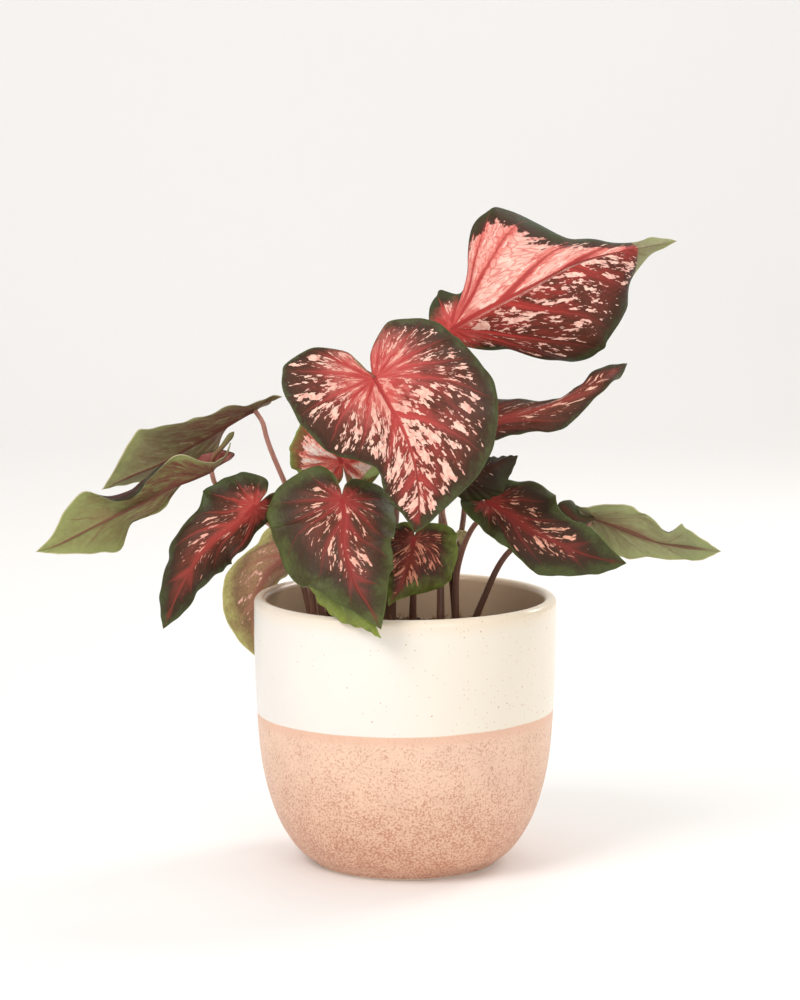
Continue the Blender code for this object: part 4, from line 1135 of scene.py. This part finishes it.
# %% The underside, and the group's outputs
# It is paler, with the pattern showing through as brown and pale patches
back_tone = plus(times(graph.noise(where, 0.5, 4.0, 0.6), 0.5), 0.75)
back = toned(source["Underside"], back_tone)
back = mix(times(green, 0.45), back, srgb("#8f9a5c"))
near_stalk = step(plus(times(wobbled, 36.0), to_hub), 72.0, 12.0, 0.2, 1.0)
through = times(step(along_veins(5.2, 0.12, 4.0, 0.7), 0.36, 0.6), near_stalk, source["Under mottle"])
through = times(through, step(deep, times(reach, 0.5), times(reach, 1.6)))
back = mix(through, back, source["Under vein"])
back = mix(times(largest(bed, hub), 0.5), back, source["Under vein"])
back = mix(times(fleck, 0.3), back, srgb("#c9b795"))
back = mix(times(vein, between(inward, 0.1, 1.0), 0.8), back, source["Under vein"])
back = mix(step(inset, 0.8, 0.25), back, srgb("#c4bc96"))
turned = step(along, source["Turned tip"], plus(source["Turned tip"], 1.5))
graph.put(target["Color"], mix(largest(under, turned), color, back))
sheen = plus(times(graph.noise(where, 0.6, 3.0), 0.3), 0.34)
graph.put(target["Roughness"], between(under, sheen, 0.65))
grain = times(graph.noise(where, 5.0, 3.0, 0.7), 0.25)
graph.put(target["Height"], plus(times(vein, between(under, -0.6, 0.8)), grain, times(net, -0.12)))
blade_pattern = graph.tree
print("pattern nodes:", len(blade_pattern.nodes))

# %% [markdown]
# ### Each blade's own look
#
# No two blades of a caladium are alike. The old ones near the middle are maroon and full of
# flecks, the lit top one glows pink in its upper half, and those that show their back are
# olive. The numbers below are the strengths of the pattern. Two values keep the blades from
# looking stamped: the number of veins to a half, eight unless the table says otherwise, and
# the seed, which is the blade's place in the table.

# %% Build the blades
LOOKS = {
    "top_right": {
        "veins": 12, "Fleck share": 0.66, "Fleck reach": 0.8, "Hub reach": 19.0, "Green left": 8.5,
        "Green right": 5.0, "Glow left": 0.95, "Haze": 0.42, "Flesh": "#512a1c", "Vein": "#bf3d39",
        "Glow": "#e38378", "Fleck": "#f8cbbb", "Margin": "#3a4526", "Turned tip": 99.0,
        "Underside": "#8a8660", "Under vein": "#7d6f50", "Fleck length": 125.0},
    "front_large": {
        "veins": 9, "Fleck share": 0.76, "Fleck reach": 0.8, "Hub reach": 30.0, "Green left": 4.0,
        "Green right": 1.8, "Haze": 0.55, "Flesh": "#4a2c1c", "Vein": "#c14744", "Glow": "#eb9a8c",
        "Fleck": "#f5c8b6", "Margin": "#4a4f2e", "Side veins": 0.85, "Fleck length": 80.0},
    "front_left": {
        "Fleck share": 0.56, "Fleck reach": 0.35, "Hub reach": 10.0, "Green left": 6.5,
        "Green right": 8.0, "Haze": 0.3, "Flesh": "#46301d", "Vein": "#9c3431", "Glow": "#d9796d",
        "Fleck": "#f0b9a3", "Margin": "#535b2e", "Side veins": 0.5, "Fleck length": 48.0},
    "lime_under": {
        "veins": 6, "Fleck share": 0.0, "Hub reach": 4.0, "Green left": 16.0, "Green right": 16.0,
        "Margin": "#85923a", "Flesh": "#6a7434", "Vein": "#8a9a58", "Vein strength": 0.4, "Haze": 0.0},
    "centre_small": {
        "veins": 9, "Fleck share": 0.7, "Fleck reach": 0.55, "Hub reach": 5.0, "Green left": 6.5,
        "Green right": 4.0, "Haze": 0.3, "Flesh": "#42200f", "Vein": "#7c2f24", "Fleck": "#d98c72",
        "Margin": "#68732f", "Side veins": 0.45},
    "pale_pink": {
        "Fleck share": 1.0, "Hub reach": 11.0, "Green left": 4.0, "Green right": 4.0, "Glow left": 1.0,
        "Glow right": 1.0, "Flesh": "#b0614a", "Glow": "#ffb8a4", "Fleck": "#fff0e6", "Vein": "#cf4640",
        "Margin": "#7a8a3e"},
    "slender_right": {
        "Fleck share": 0.5, "Fleck reach": 0.6, "Hub reach": 12.0, "Green left": 2.6,
        "Green right": 2.6, "Haze": 0.35, "Flesh": "#4a2c1c", "Vein": "#a8443b", "Glow": "#dd8d7e",
        "Fleck": "#f0bda6", "Margin": "#45492b", "Side veins": 0.6, "Fleck length": 85.0},
    "dark_small": {
        "Fleck share": 0.3, "Hub reach": 4.0, "Green left": 7.0, "Green right": 7.0, "Flesh": "#2b170a",
        "Vein": "#4a2418", "Margin": "#323213", "Vein strength": 0.5, "Side veins": 0.5},
    "right_front": {
        "Fleck share": 0.55, "Fleck reach": 0.35, "Hub reach": 9.0, "Green left": 6.5,
        "Green right": 8.0, "Haze": 0.2, "Flesh": "#3c2616", "Vein": "#8f332d", "Glow": "#c4604f",
        "Fleck": "#eeb096", "Margin": "#4c562b", "Side veins": 0.45, "Fleck length": 55.0},
    "right_far": {
        "veins": 7, "Fleck share": 0.1, "Hub reach": 8.0, "Green left": 6.0, "Green right": 6.0,
        "Flesh": "#2e1a10", "Vein": "#6b2d26", "Margin": "#303b20", "Underside": "#8e9066",
        "Under vein": "#6b3f33", "Under mottle": 0.3, "Side veins": 0.3},
    "left_low": {
        "Fleck share": 0.48, "Fleck reach": 0.5, "Hub reach": 11.0, "Green left": 5.0,
        "Green right": 5.5, "Haze": 0.22, "Flesh": "#402a19", "Vein": "#ae3f38", "Glow": "#e08377",
        "Fleck": "#f0b6a2", "Margin": "#434d2a", "Side veins": 0.6, "Fleck length": 46.0},
    "left_middle": {
        "Fleck share": 0.2, "Hub reach": 20.0, "Green left": 5.0, "Green right": 5.0,
        "Flesh": "#3d2216", "Vein": "#8a3a33", "Margin": "#303b20", "Underside": "#858754",
        "Under vein": "#6f3f33", "Under mottle": 1.0, "Side veins": 0.4, "Haze": 0.25},
    "left_upper": {
        "Fleck share": 0.35, "Hub reach": 30.0, "Green left": 5.0, "Green right": 5.0,
        "Flesh": "#3d2216", "Vein": "#7c3630", "Margin": "#303b20", "Underside": "#837f58",
        "Under vein": "#6f3f34", "Under mottle": 1.0, "Side veins": 0.35},
    "left_behind": {
        "Fleck share": 0.4, "Hub reach": 22.0, "Green left": 8.0, "Green right": 8.0,
        "Flesh": "#b08a66", "Vein": "#a8665a", "Margin": "#b9b26e", "Underside": "#e0cb98",
        "Under vein": "#c08a72", "Under mottle": 0.6, "Side veins": 0.6},
}
USUAL_VEINS = 8
LARGE_HALF_WIDTH = 35.0
LARGE_GRID = (112, 26)
SMALL_GRID = (88, 18)


def blade_material(name, look, seed):
    """The pattern with one blade's own strengths."""
    material, graph, shader = new_material("blade " + name, 0.45, 0.22)
    values = {key: srgb(value) if isinstance(value, str) else value for key, value in look.items()
              if key != "veins"}
    pattern = use_group(graph, blade_pattern, {**values, "Seed": float(seed)})
    graph.put(shader.inputs["Base Color"], pattern["Color"])
    graph.put(shader.inputs["Roughness"], pattern["Roughness"])
    bump(graph, shader, pattern["Height"], 0.6, 0.0005)
    return material


blade_materials = {}
for seed, (name, leaf) in enumerate(LEAVES.items(), 1):
    look = LOOKS[name]
    large = sections_at(leaf, MARGIN_SHARES)[0].max() > LARGE_HALF_WIDTH
    grid = LARGE_GRID if large else SMALL_GRID
    points, faces, attributes = blade_mesh(leaf, *grid, look.get("veins", USUAL_VEINS))
    material = blade_material(name.replace("_", " "), look, seed)
    blade_materials[name] = material
    blade = make_piece("blade_" + name, points, faces, material, "leaf_" + name, attributes)
    print(blade.name, len(blade.data.polygons), "faces")

# %% [markdown]
# ### Curled lobes
#
# Two blades, one on the left and one on the right, have a lobe that has rolled itself into a
# narrow tongue. The solids leave these out, because they are small and very thin. Each is a
# strip that grows from its blade's hub and bends across its width. It wears the pattern of
# its blade.

# %% Roll the curled lobes
CURLED_LOBES = {
    "right_far": dict(
        line=[(89, -23, 169.5), (84, -27, 169), (79.5, -28.5, 170.5), (75.5, -29, 174), (72, -29, 177.5)],
        half_widths=[1.4, 2.8, 4.8, 6.4, 5.4], curl=65, underside=0.1),
    "left_middle": dict(
        line=[(-91, -27, 193.5), (-89.6, -28.6, 199), (-85.5, -29, 204), (-82, -28, 208.5),
              (-80, -27.5, 211)],
        half_widths=[1.6, 2.2, 2.0, 2.6, 1.8], curl=100, underside=0.45)}
LOBE_STEPS = 28
LOBE_COLUMNS = 13
LOBE_THICKNESS = 0.35
LOBE_ALONG = (6, 26)
LOBE_RUN = (2, 24)
LOBE_VEINS = 2.5


def both_sides(values):
    """The same values for the outer and the inner face."""
    return np.vstack([values.reshape(-1, values.shape[-1])] * 2)


ways = np.linspace(0, 1, LOBE_STEPS)
shares = np.linspace(-1, 1, LOBE_COLUMNS)
order = np.arange(LOBE_STEPS * LOBE_COLUMNS).reshape(LOBE_STEPS, LOBE_COLUMNS)
faces = []
for i in range(LOBE_STEPS - 1):
    for j in range(LOBE_COLUMNS - 1):
        face = [int(order[cell]) for cell in ((i, j), (i, j + 1), (i + 1, j + 1), (i + 1, j))]
        faces += [face, [c + order.size for c in face[::-1]]]
border = np.concatenate([order[0], order[1:, -1], order[-1, -2::-1], order[-2:0:-1, 0]]).tolist()
faces += [[b, a, a + order.size, b + order.size] for a, b in zip(border, border[1:] + border[:1])]

for name, lobe in CURLED_LOBES.items():
    line = smooth_points(lobe["line"], ways)
    last = len(lobe["line"]) - 1
    widths = np.interp(ways * last, range(last + 1), lobe["half_widths"])
    widths = widths * np.minimum((1 - ways) * 6 + 0.02, 1) ** 0.5
    along = unit(np.gradient(line, axis=0))
    sideways = unit(np.cross(along, np.array(FRONT)))
    upward = np.cross(sideways, along)
    curl = math.radians(lobe["curl"])
    radius = widths / curl
    outer = np.stack([line + sideways * (radius * math.sin(share * curl))[:, None]
                      + upward * (radius * (math.cos(share * curl) - 1))[:, None] for share in shares], 1)
    middle = line - upward * radius[:, None]
    inner = outer - unit(outer - middle[:, None]) * LOBE_THICKNESS
    across = widths[:, None]
    flat = np.stack(np.broadcast_arrays(
        np.linspace(*LOBE_ALONG, LOBE_STEPS)[:, None], shares * across, across * (1 - np.abs(shares))), -1)
    among = np.stack(np.broadcast_arrays(
        LOBE_VEINS * np.abs(shares), np.linspace(*LOBE_RUN, LOBE_STEPS)[:, None], across / LOBE_VEINS), -1)
    attributes = {"flat": both_sides(flat), "among_veins": both_sides(among),
                  "underside": np.full(2 * order.size, lobe["underside"])}
    points = np.vstack([outer.reshape(-1, 3), inner.reshape(-1, 3)])
    piece = make_piece(
        "curled_lobe_" + name, points, faces, blade_materials[name], attributes=attributes)
    print(piece.name, len(piece.data.polygons), "faces")

# %% [markdown]
# ## Stalks
#
# Each blade stands or hangs on its own long stalk, which is round and smooth and thickest
# where it leaves the tuber. A stalk is a tube swept along the same route as its solid, with
# more steps and sides. Its last millimetres run into the blade, as the two grow together in
# life. Its colour runs from brown at the foot to a dull pink under the blade.

# %% Sweep the stalks
STEM_FOOT_HEIGHT = 112.0
CROWN_HEIGHT = 118.5
STEM_TOP_RADIUS = 1.15
STEM_TOP_GAP = 0.65
STEM_BEND_LENGTH = 6.0
STEM_TAPER = 0.6
STEEPEST_FOLD = 1.2
SOLID_THICKNESS = 0.8
STALK_STEPS = 44
STALK_SIDES = 18
STREAKS_ACROSS = 900.0
STREAKS_ALONG = 60.0
INTO_BLADE = 0.3
INTO_BLADE_SHARE = 0.55


def stem_top(leaf):
    """End of the stalk under the blade, and the direction from there into the blade."""
    line, _, direction = midrib_line(leaf)
    tilts = sections_at(leaf, [0])[1]
    forward = direction[0]
    leftward = unit(np.cross(np.array(leaf["top"]), forward))
    upward = np.cross(forward, leftward)
    left_normal = upward * math.cos(tilts[0, 0]) - leftward * math.sin(tilts[0, 0])
    right_normal = upward * math.cos(tilts[0, 2]) + leftward * math.sin(tilts[0, 2])
    normal = unit(left_normal + right_normal)
    fold = -0.5 * (tilts[0, 0] + tilts[0, 2])
    clearance = STEM_TOP_GAP + STEM_TOP_RADIUS * max(0.0, math.tan(min(fold, STEEPEST_FOLD)))
    return line[0] - normal * (SOLID_THICKNESS + clearance), normal, line[0]


def foot_point(piece, height):
    """Where a stalk stands on its tuber, at a height."""
    x, y = TUBERS[piece["tuber"]]
    return (x + piece["foot"][0], y + piece["foot"][1], height)


NOT_ALONG_ANY_STALK = (0.3, 1.0, 0.1)


def sweep(line, radii, sides):
    """Points and faces of a closed round tube along a line, and each point's share of the way."""
    line = np.asarray(line, float)
    along = unit(np.gradient(line, axis=0))
    across = unit(np.cross(along[0], NOT_ALONG_ANY_STALK))
    points, shares, faces = [line[0]], [0.0], []
    for i, (centre, way, radius) in enumerate(zip(line, along, radii)):
        across = unit(across - way * (across @ way))
        other = np.cross(way, across)
        for angle in np.linspace(0, 2 * math.pi, sides, endpoint=False):
            points.append(centre + radius * (math.cos(angle) * across + math.sin(angle) * other))
            shares.append(i / (len(line) - 1))
    points.append(line[-1])
    shares.append(1.0)
    last = len(points) - 1
    for j in range(sides):
        k = (j + 1) % sides
        faces.append((0, 1 + k, 1 + j))
        for i in range(len(line) - 1):
            a = 1 + i * sides
            b = a + sides
            faces.append((a + j, a + k, b + k, b + j))
        a = 1 + (len(line) - 1) * sides
        faces.append((last, a + j, a + k))
    return points, faces, shares


def stalk_material(name, foot, top):
    """A stalk's colour from its foot to its top, with fine dark streaks along it."""
    material, graph, shader = new_material(name, 0.4, 0.45)
    share = graph.attribute("share")["Fac"]
    color = graph.mix(graph.step(share, 0.15, 0.75), srgb(foot), srgb(top))
    x, y, z = graph.split(graph.place())
    upright = graph.vector(
        graph.times(x, STREAKS_ACROSS), graph.times(y, STREAKS_ACROSS), graph.times(z, STREAKS_ALONG))
    streak = graph.noise(upright, 1.0, 3.0, 0.6)
    color = graph.mix(graph.step(streak, 0.45, 0.75, 0.0, 0.45), color, srgb("#3a1f1a"))
    graph.put(shader.inputs["Base Color"], color)
    bump(graph, shader, streak, 0.3, 0.0002)
    return material


brown_stalk = stalk_material("brown stalk", "#6d4c3e", "#a67566")
pink_stalk = stalk_material("pink stalk", "#855f50", "#bb8375")
PINK_STALKS = ("left_upper", "left_middle", "left_low", "top_right")
for name, leaf in LEAVES.items():
    end, normal, hub = stem_top(leaf)
    route = [foot_point(leaf, CROWN_HEIGHT), *leaf["stem"], end - normal * STEM_BEND_LENGTH, end]
    line = smooth_route(route, STALK_STEPS)
    share = np.linspace(0, 1, STALK_STEPS) ** STEM_TAPER
    radii = leaf["foot_radius"] * (1 - share) + STEM_TOP_RADIUS * share
    line = np.vstack([[foot_point(leaf, STEM_FOOT_HEIGHT)], line, [hub - normal * INTO_BLADE]])
    radii = [leaf["foot_radius"], *radii, STEM_TOP_RADIUS * INTO_BLADE_SHARE]
    points, faces, shares = sweep(line, radii, STALK_SIDES)
    material = pink_stalk if name in PINK_STALKS else brown_stalk
    make_piece("stalk_" + name, points, faces, material, "stem_" + name, {"share": shares})
print("stalks:", len(LEAVES))

# %% [markdown]
# ## Young leaf and bract
#
# One leaf is still rolled into a spindle on its stalk. The roll shows as a seam that winds
# round it, so the tube's radius follows the angle a little, like a snail's shell. Beside the
# stalks stands one small pale bract, the papery scale that once wrapped a young leaf.

# %% Roll the young leaf
ROLLED_LEAF = dict(
    tuber="middle", foot=(-4, 6), foot_radius=1.5, stem=[(-13, -12, 150), (-20, -26, 176), (-21, -34, 186)],
    blade=[(-18, -37.5, 191), (-13, -39, 195), (-8, -39, 198), (-3, -37, 200)],
    stem_radius=0.9, radii=[1.4, 2.6, 2.2, 0.4])
YOUNG_STEPS = 60
YOUNG_SIDES = 24
ROLL_LIP = 0.12
ROLL_TWIST = 0.03
ROLL_START = 6

stem = [foot_point(ROLLED_LEAF, CROWN_HEIGHT), *ROLLED_LEAF["stem"]]
route = [*stem, *ROLLED_LEAF["blade"]]
ways = np.linspace(0, 1, YOUNG_STEPS)
line = np.vstack([[foot_point(ROLLED_LEAF, STEM_FOOT_HEIGHT)], smooth_points(route, ways)])
stem_radii = np.linspace(ROLLED_LEAF["foot_radius"], ROLLED_LEAF["stem_radius"], len(stem))
radii = np.interp(ways, np.linspace(0, 1, len(route)), [*stem_radii, *ROLLED_LEAF["radii"]])
points, faces, shares = sweep(line, [ROLLED_LEAF["foot_radius"], *radii], YOUNG_SIDES)
points = np.array(points)
blade_start = len(stem) / len(route)
for row in range(1, YOUNG_STEPS + 1):
    rolled = min(max((ways[row - 1] - blade_start) * ROLL_START, 0), 1)
    for i in range(YOUNG_SIDES):
        way_round = (i / YOUNG_SIDES + row * ROLL_TWIST) % 1
        vertex = 1 + row * YOUNG_SIDES + i
        growth = 1 + rolled * ROLL_LIP * (way_round - 0.5)
        points[vertex] = line[row] + (points[vertex] - line[row]) * growth

material, graph, shader = new_material("young leaf", 0.5, 0.4)
where = graph.place()
share = graph.attribute("share")["Fac"]
rolled_blade = mottled(graph, where, "#9aa865", 250.0, 0.3)
color = graph.mix(graph.step(share, 0.62, 0.5), rolled_blade, srgb("#6f4a3c"))
graph.put(shader.inputs["Base Color"], color)
bump(graph, shader, graph.noise(where, 900.0, 2.0), 0.3, 0.0003)
young = make_piece("young_leaf_rolled", points, faces, material, "leaf_rolled_young",
                   {"share": shares})
print(young.name, len(young.data.polygons), "faces")

# %% Add the bract
BRACT = dict(
    midrib=[(27, -1.1, 159.5), (26.7, -0.4, 156.3), (26.3, 0.3, 153)],
    top=FRONT, lobes=(1.2, 1.2),
    sections=[(0, (3, 10, 10), (2.6, 10, 10)), (0.5, (2.3, 10, 10), (2, 10, 10)),
              (0.8, (1, 10, 10), (0.9, 10, 10))])
BRACT_GRID = (24, 8)
BRACT_VEINS = 5

points, faces, attributes = blade_mesh(BRACT, *BRACT_GRID, BRACT_VEINS)
material, graph, shader = new_material("pale bract", 0.55, 0.35)
graph.put(shader.inputs["Base Color"], mottled(graph, graph.place(), "#cdbf93", 400.0, 0.3))
bract = make_piece("bract_scale", points, faces, material, "bract_pale", attributes)
print(bract.name, len(bract.data.polygons), "faces")

# %% [markdown]
# ## Studio
#
# The plant stands on a plain pale floor that curves up into a backdrop. Neither is part of
# the object. Both are large, so that a camera can also stand behind the plant. A large soft
# lamp high on the left does most of the work, a weaker one from the right and behind catches
# the leaves' edges, and one lights the backdrop. A low lamp in front and a pale sky fill the
# shadows.

# %% Floor, backdrop and lights
FLOOR_HALF_WIDTH = 5.0
FLOOR_FRONT = -6.0
FLOOR_BACK = 1.7
SWEEP_RADIUS = 0.9
WALL_TOP = 4.0
SWEEP_STEPS = 17

sweep_line = [(FLOOR_BACK + SWEEP_RADIUS * math.sin(a), SWEEP_RADIUS * (1 - math.cos(a)))
              for a in np.linspace(0, math.pi / 2, SWEEP_STEPS)]
floor_line = [(FLOOR_FRONT, 0.0), *sweep_line, (FLOOR_BACK + SWEEP_RADIUS, WALL_TOP)]
floor_points = [(x, y, z) for y, z in floor_line for x in (-FLOOR_HALF_WIDTH, FLOOR_HALF_WIDTH)]
floor_faces = [(2 * i, 2 * i + 1, 2 * i + 3, 2 * i + 2) for i in range(len(floor_line) - 1)]
floor_mesh = bpy.data.meshes.new("floor")
floor_mesh.from_pydata(floor_points, [], floor_faces)
floor_mesh.shade_smooth()
material, _, shader = new_material("pale floor", 0.7, 0.2)
shader.inputs["Base Color"].default_value = srgb("#f3f2f1")
floor_mesh.materials.append(material)
floor = bpy.data.objects.new("floor", floor_mesh)
bpy.context.scene.collection.objects.link(floor)
print("floor:", len(floor_faces), "faces")


def add_lamp(name, place, target, size, power, color):
    """A round soft lamp at a place in metres, turned to its target."""
    data = bpy.data.lights.new(name, "AREA")
    data.shape = "DISK"
    data.size = size
    data.energy = power
    data.color = color
    lamp = bpy.data.objects.new(name, data)
    lamp.location = place
    way = np.array(target) - np.array(place)
    flat = math.hypot(way[0], way[1])
    lamp.rotation_euler = (math.atan2(flat, -way[2]), 0, math.atan2(way[1], way[0]) - math.pi / 2)
    bpy.context.scene.collection.objects.link(lamp)
    print(name, power, "W")


add_lamp("key lamp", (-0.9, -1.0, 1.3), (0, 0, 0.18), 0.9, 17.0, (1.0, 0.98, 0.96))
add_lamp("edge lamp", (0.9, 0.7, 0.9), (0, 0, 0.2), 0.6, 7.0, (1.0, 0.97, 0.93))
add_lamp("backdrop lamp", (0.0, 1.3, 2.3), (0, 2.6, 0.9), 1.2, 11.0, (1.0, 0.99, 0.97))
add_lamp("front fill", (0.8, -1.5, 0.6), (0, 0, 0.15), 1.0, 6.0, (1.0, 0.98, 0.96))
world = bpy.data.worlds.new("sky")
world.use_nodes = True
sky = world.node_tree.nodes["Background"].inputs
sky["Color"].default_value = (1.0, 0.985, 0.965, 1.0)
sky["Strength"].default_value = 0.66
bpy.context.scene.world = world
bpy.context.scene.view_settings.view_transform = "Standard"
